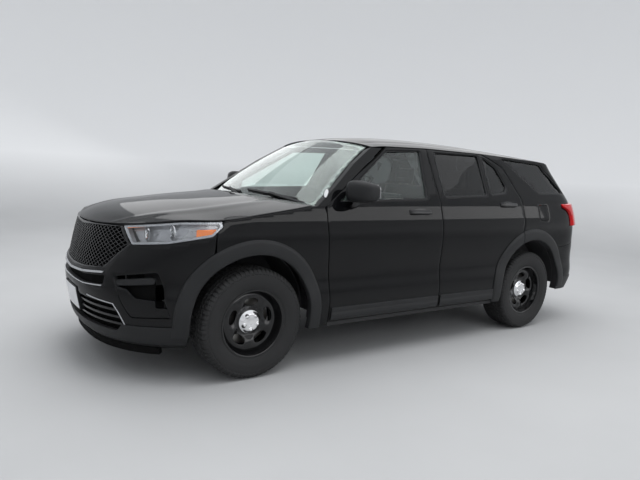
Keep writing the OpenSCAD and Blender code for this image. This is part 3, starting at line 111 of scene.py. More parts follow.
@dataclass(frozen=True)
class Finish:
    """Procedural material: shader values, colour drift and fine relief on object coordinates."""

    name: str
    slot: str
    color: Color
    rough: float
    metallic: float = 0.0
    coat: float = 0.0
    coat_rough: float = 0.03
    transmission: float = 0.0
    ior: float = 1.5
    sheen: float = 0.0
    specular: float = 0.5
    drift: float = 0.12
    drift_scale: float = 3.0
    rough_drift: float = 0.05
    grain: Grain = Grain.MOULDED
    grain_scale: float = 900.0
    relief: float = 0.05
    relief_mm: float = 0.2
    glow: float = 0.0

    def values(self) -> dict[str, object]:
        """Shader values that hold all over the surface.

        Returns:
            Value of each socket.
        """
        held = {
            "Metallic": self.metallic, "Coat Weight": self.coat, "Coat Roughness": self.coat_rough,
            "Transmission Weight": self.transmission, "IOR": self.ior, "Sheen Weight": self.sheen,
            "Specular IOR Level": self.specular,
        }
        if self.glow:
            held |= {"Emission Color": (*self.color, 1.0), "Emission Strength": self.glow}
        return held

    def height(self, graph: Graph, place: bpy.types.NodeSocket) -> bpy.types.NodeSocket:
        """Makes the height pattern of the finish's grain.

        Args:
            graph: Node tree of the material.
            place: Object coordinate socket.
        Returns:
            Socket that carries the height.
        """
        pattern = {"Scale": self.grain_scale, "Vector": place}
        if self.grain is Grain.WEAVE:
            waves = [graph.add("TexWave", {**pattern, "Distortion": 0.6}) for _ in "XZ"]
            for wave, axis in zip(waves, "XZ"):
                wave.bands_direction = axis
            joined = graph.add("Math", {k: wave.outputs["Fac"] for k, wave in enumerate(waves)})
            joined.operation = "MULTIPLY"
            return joined.outputs[0]
        if self.grain is Grain.CAST:
            return graph.add("TexVoronoi", pattern).outputs["Distance"]
        return graph.add("TexNoise", {**pattern, "Detail": 1.0 if self.grain is Grain.PEEL else 4.0}).outputs["Fac"]

    def build(self) -> bpy.types.Material:
        """Makes the material once, with drifting colour and roughness and a bump.

        Returns:
            The material.
        """
        known = bpy.data.materials.get(self.name)
        if known:
            return known
        material = bpy.data.materials.new(self.name)
        material.use_nodes = True
        graph = Graph(material.node_tree)
        place = graph.add("TexCoord", {}).outputs["Object"]
        drift = graph.add("TexNoise", {"Scale": self.drift_scale, "Detail": 5.0, "Vector": place}).outputs["Fac"]
        ramp = graph.add("ValToRGB", {"Fac": drift})
        for stop, at, factor in zip(ramp.color_ramp.elements, (0.3, 0.7), (1.0 - self.drift, 1.0 + self.drift)):
            stop.position, stop.color = at, (*(min(c * factor, 1.0) for c in self.color), 1.0)
        low, high = max(self.rough - self.rough_drift, 0.0), self.rough + self.rough_drift
        spread = graph.add("MapRange", {"To Min": low, "To Max": high, "Value": drift})
        bump = graph.add("Bump", {"Strength": self.relief, "Distance": self.relief_mm * MM,
                                  "Height": self.height(graph, place)})
        graph.fill(material.node_tree.nodes["Principled BSDF"], {
            **self.values(), "Base Color": ramp.outputs["Color"], "Roughness": spread.outputs["Result"],
            "Normal": bump.outputs["Normal"]})
        return material


class Finishes:
    """Every finish of the vehicle, by what it covers."""

    paint = Finish("paint_black", "paint", (0.0030, 0.0031, 0.0036), 0.30, coat=0.55, coat_rough=0.02, specular=0.0,
                   grain=Grain.PEEL, grain_scale=420.0, relief=0.010, rough_drift=0.02)
    moulding = Finish("moulding_grey", "dark_plastic", (0.015, 0.0155, 0.0165), 0.50, specular=0.3, grain_scale=1500.0,
                      relief=0.35, relief_mm=0.15, rough_drift=0.08)
    mesh = Finish("mesh_black", "mesh", (0.008, 0.008, 0.009), 0.24, grain=Grain.PEEL, relief=0.02)
    clear_glass = Finish("glass_clear", "clear_glass", (0.80, 0.90, 0.86), 0.0, transmission=1.0, ior=1.45,
                         grain=Grain.PEEL, grain_scale=4.0, relief=0.002, rough_drift=0.0, drift=0.02)
    dark_glass = Finish("glass_dark", "privacy_glass", (0.060, 0.064, 0.066), 0.0, transmission=1.0, ior=1.45,
                        grain=Grain.PEEL, grain_scale=4.0, relief=0.002, rough_drift=0.0, drift=0.05)
    lens = Finish("lens_clear", "lamp_clear", (0.97, 0.98, 0.99), 0.0, transmission=1.0, ior=1.40,
                  grain=Grain.PEEL, relief=0.002, rough_drift=0.0, drift=0.01)
    bowl = Finish("bowl_grey", "lamp_bowl", (0.46, 0.47, 0.49), 0.26, metallic=0.5, coat=0.4, relief=0.05)
    bezel = Finish("bezel_dark", "lamp_bowl", (0.05, 0.05, 0.055), 0.28, relief=0.05)
    reflector = Finish("reflector_bright", "chrome", (0.88, 0.89, 0.90), 0.08, metallic=1.0, relief=0.01)
    amber = Finish("amber_lens", "lamp_bowl", (0.85, 0.20, 0.015), 0.10, coat=1.0, relief=0.02, glow=0.25)
    red = Finish("red_lens", "lamp_red", (0.40, 0.003, 0.005), 0.10, coat=0.35, specular=0.15, relief=0.02, glow=0.10)
    red_dark = Finish("red_inner", "lamp_red", (0.22, 0.004, 0.006), 0.14, coat=1.0, relief=0.02)
    chassis = Finish("chassis_black", "frame_paint", (0.013, 0.013, 0.014), 0.58, grain=Grain.CAST,
                     grain_scale=260.0, relief=0.25, rough_drift=0.12, drift=0.3)
    casting = Finish("casting_grey", "cast", (0.09, 0.09, 0.095), 0.55, metallic=0.7, grain=Grain.CAST,
                     grain_scale=320.0, relief=0.4, rough_drift=0.12, drift=0.25)
    steel = Finish("steel_plain", "steel", (0.36, 0.35, 0.33), 0.36, metallic=1.0, rough_drift=0.1, relief=0.1,
                   drift=0.2, drift_scale=12.0)
    tank = Finish("tank_black", "tank", (0.02, 0.02, 0.021), 0.6, relief=0.3)
    cloth = Finish("cloth_dark", "seat_fabric", (0.035, 0.036, 0.040), 0.85, sheen=0.25, grain=Grain.WEAVE,
                   grain_scale=260.0, relief=0.5, relief_mm=0.6)
    cabin = Finish("cabin_grain", "cabin_plastic", (0.020, 0.021, 0.023), 0.62, grain=Grain.CAST,
                   grain_scale=620.0, relief=0.3, relief_mm=0.25)
    rubber = Finish("rubber_black", "tyre", (0.012, 0.012, 0.0125), 0.72, grain_scale=700.0, relief=0.3,
                    rough_drift=0.1, drift=0.25, drift_scale=9.0)
    rim = Finish("rim_black", "rim_paint", (0.004, 0.004, 0.0045), 0.14, coat=0.8, coat_rough=0.03, specular=0.1,
                 grain=Grain.PEEL, relief=0.02)
    chrome = Finish("chrome_bright", "chrome", (0.86, 0.86, 0.87), 0.06, metallic=1.0, relief=0.01, drift=0.04)
    # Painted highlight: a bright metal for the thin nose strips that stand in for the light edge highlights of ledges
    # under the grille, along the slot and round the intake. Its brightness paints the highlight, with some real
    # reflection from the metal.
    satin_metal = Finish("satin_metal", "chrome", (0.60, 0.61, 0.63), 0.28, metallic=1.0, relief=0.04)
    seal = Finish("seal_black", "dark_plastic", (0.004, 0.004, 0.004), 0.9, specular=0.1, relief=0.1)
    plate = Finish("plate_white", "chrome", (0.78, 0.79, 0.80), 0.35, relief=0.03)


# ---------------------------------------------------------------- meshes


def make_piece(name: str, points: Array, faces: Sequence[Array], finish: Finish, body: str, node: str | None = None,
               second: tuple[Array, Finish] | None = None, sharp: float = 38.0) -> bpy.types.Object:
    """Turns arrays into a smooth shaded piece that rides on a body, at the origin.

    Args:
        name: Piece's name.
        points: Corner places in millimetres, one row each.
        faces: Arrays of corner numbers, one row a face, facing outwards.
        finish: Material of the piece.
        body: Frame body that the piece moves with.
        node: Frame node that the piece stands for.
        second: Mask over all faces and the finish that the masked faces take.
        sharp: Angle in degrees past which an edge shows sharp.
    Returns:
        The new object.
    """
    if second is None:
        points, faces = welded(points, faces)
    mesh = bpy.data.meshes.new(name)
    sizes = np.concatenate([np.full(len(f), f.shape[1]) for f in faces])
    corners = np.concatenate([f.ravel() for f in faces]).astype(np.int32)
    mesh.vertices.add(len(points))
    mesh.vertices.foreach_set("co", (points * MM).astype(np.float32).ravel())
    mesh.loops.add(len(corners))
    mesh.loops.foreach_set("vertex_index", corners)
    mesh.polygons.add(len(sizes))
    mesh.polygons.foreach_set("loop_start", np.concatenate([[0], np.cumsum(sizes)[:-1]]).astype(np.int32))
    mesh.update(calc_edges=True)
    mesh.materials.append(finish.build())
    if second is not None:
        mesh.materials.append(second[1].build())
        mesh.polygons.foreach_set("material_index", second[0].astype(np.int32))
    mesh.validate()
    mesh.polygons.foreach_set("use_smooth", np.ones(len(mesh.polygons), bool))
    mesh.set_sharp_from_angle(angle=math.radians(sharp))
    piece = bpy.data.objects.new(name, mesh)
    bpy.context.scene.collection.objects.link(piece)
    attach(piece, body)
    if node:
        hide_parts(node)
    LOG.info("%s: %d corners on %s", name, len(points), body)
    return piece


def welded(points: Array, faces: Sequence[Array]) -> tuple[Array, list[Array]]:
    """Merges points that meet, so that poles and seams close, and drops faces folded flat or laid on each other.

    Args:
        points: Corner places.
        faces: Arrays of corner numbers.
    Returns:
        The points left and their faces.
    """
    _, first, place = np.unique(np.round(points, 3), axis=0, return_index=True, return_inverse=True)
    kept = []
    for face in faces:
        f = place.reshape(-1)[face]
        same = f == np.roll(f, -1, axis=1)
        if f.shape[1] == 4:
            one = same.sum(axis=1) == 1
            turn = (same[one].argmax(axis=1)[:, None] + np.arange(1, 4)) % 4
            kept.append(np.take_along_axis(f[one], turn, axis=1))
        kept.append(f[~same.any(axis=1)])
    lone = []
    for f in kept:
        _, group, count = np.unique(np.sort(f, axis=1), axis=0, return_inverse=True, return_counts=True)
        lone.append(f[count[group.reshape(-1)] == 1])
    return points[first], [f for f in lone if len(f)]


def triangles(faces: Sequence[Array]) -> Array:
    """All faces as triangles, a fan from each face's first corner."""
    return np.concatenate([np.concatenate([f[:, [0, k, k + 1]] for k in range(1, f.shape[1] - 1)]) for f in faces])


def outward(points: Array, faces: Sequence[Array]) -> list[Array]:
    """Turns a closed shell so that its faces point outwards, by the sign of its volume.

    Args:
        points: Corner places.
        faces: Arrays of corner numbers.
    Returns:
        The faces, reversed where the volume was negative.
    """
    t = points[triangles(faces)] - points.mean(axis=0)
    volume = np.einsum("ij,ij->i", t[:, 0], np.cross(t[:, 1], t[:, 2])).sum()
    return [f[:, ::-1] for f in faces] if volume < 0 else list(faces)


def grid_quads(rows: int, cols: int, ring_rows: bool = False, ring_cols: bool = False) -> Array:
    """Faces of a grid of points, row by row, closed round where asked.

    Args:
        rows: Rows of points.
        cols: Columns of points.
        ring_rows: Join the last row to the first.
        ring_cols: Join the last column to the first.
    Returns:
        Four corner numbers a face.
    """
    i, j = np.meshgrid(np.arange(rows - (not ring_rows)), np.arange(cols - (not ring_cols)), indexing="ij")
    up, right = (i + 1) % rows, (j + 1) % cols
    return np.stack([i * cols + j, i * cols + right, up * cols + right, up * cols + j], axis=-1).reshape(-1, 4)


def swept(profile: Array, path: Array, across: Sequence[float], upward: Sequence[float]) -> tuple[Array, list[Array]]:
    """Closed profile carried along a path: point = path + profile x times across + profile y times upward.

    Args:
        profile: Closed outline, one row of two lengths a point.
        path: Path points.
        across: Crosswise direction.
        upward: Upward direction.
    Returns:
        Points and faces of the closed shell.
    """
    points = path[:, None] + profile[:, :1] * np.array(across) + profile[:, 1:] * np.array(upward)
    return capped(points)


def capped(points: Array) -> tuple[Array, list[Array]]:
    """Closed shell over rows of closed outlines, with both end rows capped to their middles.

    Args:
        points: Rows by outline points by three.
    Returns:
        Points and faces.
    """
    n, k = points.shape[:2]
    a, last = np.arange(k), (n - 1) * k
    b = (a + 1) % k
    flat = np.concatenate([points.reshape(-1, 3), points[[0, -1]].mean(axis=1)])
    ends = [np.stack([b, a, np.full(k, n * k)], axis=1), np.stack([a + last, b + last, np.full(k, n * k + 1)], axis=1)]
    return flat, outward(flat, [grid_quads(n, k, ring_cols=True), *ends])


def joined(parts: Sequence[tuple[Array, list[Array]]]) -> tuple[Array, list[Array]]:
    """Points and faces of several shells as one set."""
    starts = np.cumsum([0] + [len(points) for points, _ in parts])
    return np.concatenate([p for p, _ in parts]), [f + k for (_, faces), k in zip(parts, starts) for f in faces]


def turned(profile: Array, steps: int) -> tuple[Array, Array]:
    """Closed profile of radius and reach turned about the lengthwise axis.

    Args:
        profile: Radius and reach, one row a point.
        steps: Points round the axis.
    Returns:
        Points and four corner numbers a face.
    """
    angle = angles(steps)[:, None]
    r, reach = profile.T[:, None]
    points = np.stack([reach + 0 * angle, r * np.cos(angle), r * np.sin(angle)], axis=-1)
    return points.reshape(-1, 3), grid_quads(steps, len(profile), True, True)


def angles(count: int) -> Array:
    """Angles evenly round a whole turn."""
    return np.linspace(0, 2 * np.pi, count, endpoint=False)


def circle(count: int) -> Array:
    """Points evenly round a circle of radius one."""
    return np.stack([np.cos(angles(count)), np.sin(angles(count))], axis=1)


def box(low: Sequence[float], high: Sequence[float]) -> Array:
    """Outline of an upright rectangle between two corners."""
    return np.array([low, (high[0], low[1]), high, (low[0], high[1])])


def dense(loop: Array, step: float) -> Array:
    """Closed outline with more points, each side split evenly.

    Args:
        loop: Closed outline.
        step: Largest distance between neighbours.
    Returns:
        The finer outline.
    """
    ahead = np.roll(loop, -1, axis=0)
    counts = np.maximum(np.ceil(np.linalg.norm(ahead - loop, axis=1) / step).astype(int), 1)
    index = np.repeat(np.arange(len(loop)), counts)
    share = (np.arange(len(index)) - np.repeat(np.cumsum(counts) - counts, counts)) / counts[index]
    return loop[index] + (ahead - loop)[index] * share[:, None]


def rounded(loop: Array, radius: float) -> Array:
    """Closed outline with each corner replaced by a curve of the second degree.

    Args:
        loop: Closed outline.
        radius: Reach of the curve from the corner, less where a side is short.
    Returns:
        The rounded outline.
    """
    before, ahead = np.roll(loop, 1, axis=0) - loop, np.roll(loop, -1, axis=0) - loop
    la, lb = np.linalg.norm(before, axis=1), np.linalg.norm(ahead, axis=1)
    cut = np.minimum(radius, 0.45 * np.minimum(la, lb))
    a = loop + before * (cut / la)[:, None]
    b = loop + ahead * (cut / lb)[:, None]
    t = np.linspace(0, 1, 7)[None, :, None]
    curve = (1 - t) ** 2 * a[:, None] + 2 * t * (1 - t) * loop[:, None] + t ** 2 * b[:, None]
    return curve.reshape(-1, 2)


def within(points: Array, loop: Array) -> Array:
    """Even-odd test of points against a closed outline.

    Args:
        points: Flat points.
        loop: Closed outline.
    Returns:
        True for each point inside.
    """
    a, b = loop[None], np.roll(loop, -1, axis=0)[None]
    x, y = points[:, None, 0], points[:, None, 1]
    spans = (a[..., 1] > y) != (b[..., 1] > y)
    rise = np.where(b[..., 1] == a[..., 1], 1.0, b[..., 1] - a[..., 1])
    cross = a[..., 0] + (y - a[..., 1]) * (b[..., 0] - a[..., 0]) / rise
    return ((spans & (x < cross)).sum(axis=1) % 2).astype(bool)


@dataclass
class Trim:
    """Flat pattern of a panel: an outline with holes, meshed finely for bending onto a surface."""

    outline: Array
    holes: list[Array] = field(default_factory=list)
    spacing: float = 26.0
    places: Array = field(init=False)
    tris: Array = field(init=False)
    rim: Array = field(init=False)
    inward: Array = field(init=False)

    def __post_init__(self) -> None:
        """Fills the outline with evenly spaced points, joins them and keeps what lies in the panel."""
        loops = [dense(loop, self.spacing * 0.7) for loop in [self.outline, *self.holes]]
        edge = np.concatenate(loops)
        low, high = loops[0].min(axis=0), loops[0].max(axis=0)
        gx, gy = np.meshgrid(np.arange(low[0], high[0], self.spacing), np.arange(low[1], high[1], self.spacing))
        gx = gx + (np.arange(len(gx)) % 2)[:, None] * self.spacing / 2
        fill = np.stack([gx.ravel(), gy.ravel()], axis=1)
        fill = fill[self.kept(fill, loops)]
        near = np.abs(edge[None] - fill[:, None]).max(axis=2).min(axis=1)
        fill = fill[near > self.spacing * 0.45]
        starts = np.cumsum([0] + [len(loop) for loop in loops])
        runs = map(np.arange, starts[:-1], starts[1:])
        links = np.concatenate([np.stack([run, np.roll(run, -1)], axis=1) for run in runs])
        found = delaunay_2d_cdt(np.concatenate([edge, fill]).tolist(), links.tolist(), [], 0, 1e-4)
        places, tris = np.array(found[0]), np.array(found[2], int)
        tris = tris[self.kept(places[tris].mean(axis=1), loops)]
        a, b, c = (places[tris[:, k]] for k in range(3))
        area = (b - a)[:, 0] * (c - a)[:, 1] - (b - a)[:, 1] * (c - a)[:, 0]
        tris = np.where((area < 0)[:, None], tris[:, ::-1], tris)[np.abs(area) > 1e-3]
        used, tris = np.unique(tris, return_inverse=True)
        self.places, self.tris = places[used], tris.reshape(-1, 3)
        self.find_rim()

    def kept(self, points: Array, loops: Sequence[Array]) -> Array:
        """Finds which points lie in the panel.

        Args:
            points: Flat points.
            loops: Outline, then holes.
        Returns:
            True for each point inside the outline and outside every hole.
        """
        inside = within(points, loops[0])
        for hole in loops[1:]:
            inside &= ~within(points, hole)
        return inside

    def find_rim(self) -> None:
        """Finds the edges that one triangle uses, and at each rim point the direction into the panel."""
        edges = np.concatenate([self.tris[:, [0, 1]], self.tris[:, [1, 2]], self.tris[:, [2, 0]]])
        key = np.sort(edges, axis=1)
        _, first, count = np.unique(key, axis=0, return_index=True, return_counts=True)
        self.rim = edges[first[count == 1]]
        run = self.places[self.rim[:, 1]] - self.places[self.rim[:, 0]]
        left = np.stack([-run[:, 1], run[:, 0]], axis=1) / np.maximum(np.linalg.norm(run, axis=1), 1e-9)[:, None]
        total = np.zeros_like(self.places)
        np.add.at(total, self.rim[:, 0], left)
        np.add.at(total, self.rim[:, 1], left)
        size = np.maximum(np.linalg.norm(total, axis=1), 0.8)[:, None]
        self.inward = total * 2 / size ** 2

    def solid(self, surface: Mapping, top: float, back: float | Array, roll: float,
              inner: Array | None = None) -> tuple[Array, list[Array], Array]:
        """Bends the pattern onto a surface as a panel with rolled edges: rim rows at rising depth, then the back.

        Args:
            surface: Gives places and depths their points in space.
            top: Depth of the outer face.
            back: Depth of the back face, one value or one a place.
            roll: Radius of the rolled edge.
            inner: Places of the back face where it is drawn in.
        Returns:
            Points, faces and a mask of the faces of the back.
        """
        n = len(self.places)
        ring = np.unique(self.rim)
        seat = np.full(n, -1)
        seat[ring] = np.arange(len(ring))
        base, into = self.places[ring], self.inward[ring]
        back_depth = np.broadcast_to(back, n).astype(float)
        inner = self.places if inner is None else inner
        rows = [
            surface(self.places + self.inward * roll, np.full(n, top)),
            surface(base + into * roll * 0.29, np.full(len(ring), top + roll * 0.29)),
            surface(base, np.full(len(ring), top + roll)),
            surface(inner, back_depth),
        ]
        points = np.concatenate(rows)
        m = len(ring)
        a, b = self.rim[:, 0], self.rim[:, 1]
        ra, rb = seat[a], seat[b]
        steps = [(a, b), (n + ra, n + rb), (n + m + ra, n + m + rb), (n + 2 * m + a, n + 2 * m + b)]
        strips = [np.stack([q, p, u, v], axis=1) for (p, q), (u, v) in zip(steps[:-1], steps[1:])]
        faces = [self.tris, self.tris[:, ::-1] + n + 2 * m, *strips]
        mask = np.zeros(2 * len(self.tris) + 3 * len(a), bool)
        mask[len(self.tris):2 * len(self.tris)] = True
        mask[2 * len(self.tris) + 2 * len(a):] = True
        return points, outward(points, faces), mask


# ---------------------------------------------------------------- body


def smooth_table(table: Array, values: Array) -> Array:
    """Cubic curve through a table, held level past its ends, with slopes across neighbours.

    Args:
        table: Place and value, one row a point.
        values: Places to look up.
    Returns:
        The curve's values there.
    """
    x, y = table[:, 0], table[:, 1]
    n = len(x)
    low, high = np.maximum(np.arange(n) - 1, 0), np.minimum(np.arange(n) + 1, n - 1)
    slope = (y[high] - y[low]) / (x[high] - x[low])
    v = np.clip(values, x[0], x[-1])
    i = np.clip(np.searchsorted(x, v, side="right") - 1, 0, n - 2)
    h = x[i + 1] - x[i]
    t = (v - x[i]) / h
    return ((2 * t ** 3 - 3 * t ** 2 + 1) * y[i] + (t ** 3 - 2 * t ** 2 + t) * h * slope[i]
            + (3 * t ** 2 - 2 * t ** 3) * y[i + 1] + (t ** 3 - t ** 2) * h * slope[i + 1])


def lookup(table: Array, values: Array) -> Array:
    """Straight lines through a table of two columns, held level past its ends."""
    return np.interp(values, table[:, 0], table[:, 1])


def power(v: Array, p: float) -> Array:
    """Power of the size, with the sign kept."""
    return np.sign(v) * np.abs(v) ** p


def mix(a: Array | float, b: Array | float, t: Array | float) -> Array:
    """Value a share t of the way from a to b."""
    return a + (b - a) * t


def placed(at: Mapping, reach: Array, z: Array) -> Array:
    """Flat places, along the skin and up, of positions at heights."""
    return np.stack([at(reach, z), z], axis=1)


@dataclass(frozen=True)
class Body:
    """Outer skin of the vehicle in millimetres: a side section swept round a rounded nose and tail."""

    length: float = 5049.0
    wheelbase: float = 3025.0
    front_overhang: float = 961.0
    half_width: float = 985.0
    height: float = 1765.0
    tyre_r: float = 381.5
    wheel_y: float = 850.0
    arch_r: float = 432.0
    flare_r: float = 534.0
    rear_share: float = 1.06
    arch_clear: float = 4.0
    arch_foot: float = 60.0
    gap: float = 7.0
    glass_t: float = 6.0
    nose_power: float = 2.5
    tail_power: float = 3.4

    section = np.array([
        [0.125, 0.940], [0.187, 0.985], [0.243, 1.000], [0.272, 1.003], [0.317, 0.998], [0.363, 0.986],
        [0.400, 0.984], [0.460, 0.993], [0.540, 0.998], [0.595, 0.988], [0.652, 0.963], [0.710, 0.925],
        [0.800, 0.835], [0.880, 0.755], [0.935, 0.700], [0.965, 0.655]])
    nose = np.array([
        [0.125, 0.900], [0.170, 0.945], [0.238, 0.975], [0.317, 1.000], [0.363, 0.998], [0.400, 0.988],
        [0.570, 0.912], [0.620, 0.850], [0.700, 0.800]])
    tail = np.array([
        [0.140, 0.760], [0.200, 0.880], [0.280, 0.985], [0.360, 1.000], [0.440, 0.985], [0.500, 0.955],
        [0.600, 0.945], [0.700, 0.910], [0.800, 0.795], [0.900, 0.660], [0.960, 0.620]])
    roof_edge_table = np.array([
        [0.3796, 0.934], [0.4276, 0.9425], [0.593, 0.951], [0.830, 0.951], [1.000, 0.944], [1.138, 0.936],
        [1.20, 0.928]])

    @property
    def front_x(self) -> float:
        """Front axle's place along the vehicle."""
        return self.length / 2 - self.front_overhang

    @property
    def rear_x(self) -> float:
        """Rear axle's place along the vehicle."""
        return self.front_x - self.wheelbase

    @property
    def rear_overhang(self) -> float:
        """Length behind the rear axle."""
        return self.length - self.wheelbase - self.front_overhang

    @property
    def arch_z(self) -> float:
        """Height of the wheel arches' centres."""
        return self.tyre_r * 1.114

    @property
    def nose_s(self) -> float:
        """Place where the rounded nose starts."""
        return self.front_x - self.front_overhang * 0.062

    @property
    def tail_s(self) -> float:
        """Place where the rounded tail starts."""
        return self.rear_x - self.rear_overhang * 0.43

    def bx(self, share: Array | float) -> Array:
        """Place a share of the wheelbase behind the front axle."""
        return self.front_x - np.asarray(share) * self.wheelbase

    def nx(self, share: Array | float) -> Array:
        """Place a share of the front overhang ahead of the front axle."""
        return self.front_x + np.asarray(share) * self.front_overhang

    def tx(self, share: Array | float) -> Array:
        """Place a share of the rear overhang behind the rear axle."""
        return self.rear_x - np.asarray(share) * self.rear_overhang

    def hz(self, share: Array | float) -> Array:
        """Share of the height."""
        return np.asarray(share) * self.height

    def hy(self, share: Array | float) -> Array:
        """Share of the half width."""
        return np.asarray(share) * self.half_width

    def nose_x(self, z: Array) -> Array:
        """Nose's reach on the centre line at a height."""
        return self.nx(smooth_table(self.nose, np.asarray(z) / self.height))

    def tail_x(self, z: Array) -> Array:
        """Tail's reach on the centre line at a height."""
        return self.tx(smooth_table(self.tail, np.asarray(z) / self.height))

    def half_at(self, z: Array) -> Array:
        """Half width of the side at a height."""
        return self.hy(smooth_table(self.section, np.asarray(z) / self.height))

    def roof_edge(self, x: Array) -> Array:
        """Height of the roof's side line at a place."""
        return self.hz(lookup(self.roof_edge_table, (self.front_x - np.asarray(x)) / self.wheelbase))

    def point(self, s: Array, z: Array, d: Array) -> Array:
        """Skin point: the side is straight along s; past the corners x and y follow powers of cosine and sine.

        Args:
            s: Place along the skin from the tail's centre line over the left side to the nose's and on.
            z: Height.
            d: Depth under the outer skin.
        Returns:
            One row a point.
        """
        half = self.length / 2
        over = np.abs(s) > half
        f = np.where(over, np.sign(s) * self.length - s, s)
        wide, reach, back = self.half_at(z) - d, self.nose_x(z) - self.nose_s - d, self.tail_s - self.tail_x(z) - d
        tn = np.clip(np.pi / 2 * (half - f) / (half - self.nose_s), 0, np.pi / 2)
        tt = np.clip(np.pi / 2 * (f + half) / (half + self.tail_s), 0, np.pi / 2)
        x = np.where(f > self.nose_s, self.nose_s + reach * np.cos(tn) ** (2 / self.nose_power),
                     np.where(f < self.tail_s, self.tail_s - back * np.cos(tt) ** (2 / self.tail_power), f))
        y = np.where(f > self.nose_s, wide * np.sin(tn) ** (2 / self.nose_power),
                     np.where(f < self.tail_s, wide * np.sin(tt) ** (2 / self.tail_power), wide))
        return np.stack([x, np.where(over, -y, y), np.asarray(z, float) + 0 * x], axis=-1)

    def at_x(self, x: Array, z: Array) -> Array:
        """Place along the left skin of a lengthwise position: the powers of point turned round.

        Args:
            x: Lengthwise position.
            z: Height.
        Returns:
            Place along the skin.
        """
        x, z = np.broadcast_arrays(np.asarray(x, float), np.asarray(z, float))
        half = self.length / 2
        a = np.clip((x - self.nose_s) / (self.nose_x(z) - self.nose_s), 0, 1) ** (self.nose_power / 2)
        b = np.clip((self.tail_s - x) / (self.tail_s - self.tail_x(z)), 0, 1) ** (self.tail_power / 2)
        front = half - (half - self.nose_s) * np.arccos(a) * 2 / np.pi
        rear = -half + (half + self.tail_s) * np.arccos(b) * 2 / np.pi
        return np.where(x > self.nose_s, front, np.where(x < self.tail_s, rear, x))

    def around(self, y: Array, z: Array, quarter: float, bend: float) -> Array:
        """Way along a rounded end from its centre line: the arc sine of a power of the share across.

        Args:
            y: Crosswise position, negative for the right.
            z: Height.
            quarter: Way from the centre line to the straight side.
            bend: Power of the rounded end.
        Returns:
            Way along the skin, with the sign of y.
        """
        share = np.clip(np.abs(y) / self.half_at(z), 0, 1) ** (bend / 2)
        return np.sign(y) * quarter * np.arcsin(share) * 2 / np.pi

    def nose_at(self, y: Array, z: Array) -> Array:
        """Place along the nose of a crosswise position at a height, past the centre line for the right."""
        return self.length / 2 - self.around(y, z, self.length / 2 - self.nose_s, self.nose_power)

    def tail_at(self, y: Array, z: Array) -> Array:
        """Place along the tail of a crosswise position at a height, past the centre line for the right."""
        return -self.length / 2 + self.around(y, z, self.length / 2 + self.tail_s, self.tail_power)

    def side_map(self, side: Side) -> Mapping:
        """Surface that bends flat places onto one side of the skin."""
        return lambda p, d: self.point(p[:, 0], p[:, 1], d) * side.flip

    def arch_place(self, rear: bool) -> tuple[float, float, float]:
        """Place and size of a wheel arch.

        Args:
            rear: True for the rear arch.
        Returns:
            Lengthwise centre, opening radius and flare radius.
        """
        if rear:
            return self.rear_x - self.tyre_r * 0.078, self.arch_r * self.rear_share, self.flare_r * self.rear_share
        return self.front_x, self.arch_r, self.flare_r

    def arch(self, rear: bool) -> Array:
        """Outline of a wheel arch on the left skin: a half circle with upright legs.

        Args:
            rear: True for the rear arch.
        Returns:
            Closed outline on the skin.
        """
        x, radius, _ = self.arch_place(rear)
        a, reach = np.linspace(0, np.pi, 61), radius + self.arch_clear
        ring = np.stack([x + reach * np.cos(a), self.arch_z + reach * np.sin(a)], axis=1)
        feet = ring[[0, -1]] * (1, 0) + (0, self.arch_foot)
        return placed(self.at_x, *dense(np.concatenate([feet[:1], ring, feet[1:]]), 30.0).T)

    def nose_loop(self, shares: Sequence[Sequence[float]], corner: float = 14.0) -> Array:
        """Outline on the nose from crosswise and height shares."""
        y, z = dense(rounded(np.array(shares) * (self.half_width, self.height), corner), 18.0).T
        return placed(self.nose_at, y, z)

    def tail_loop(self, shares: Sequence[Sequence[float]], corner: float = 40.0) -> Array:
        """Outline on the tail from crosswise and height shares."""
        y, z = dense(rounded(np.array(shares) * (self.half_width, self.height), corner), 18.0).T
        return placed(self.tail_at, y, z)

    def side_loop(self, shares: Sequence[Sequence[float]], corner: float = 26.0) -> Array:
        """Outline on the side from wheelbase and height shares."""
        p = np.array(shares)
        return rounded(np.stack([self.bx(p[:, 0]), self.hz(p[:, 1])], axis=1), corner)


BODY = Body()


def shrunk(loop: Array, by: float) -> Array:
    """Outline drawn in towards its middle by about a length, or moved out by a negative one."""
    away = loop - loop.mean(axis=0)
    return loop - away * (by / np.linalg.norm(away, axis=1))[:, None]


def mirrored_nose(loop: Array) -> Array:
    """Outline of the nose's left half carried to the right half."""
    return np.stack([BODY.length - loop[::-1, 0], loop[::-1, 1]], axis=1)


def mirrored_tail(loop: Array) -> Array:
    """Outline of the tail's left half carried to the right half."""
    return np.stack([-BODY.length - loop[::-1, 0], loop[::-1, 1]], axis=1)


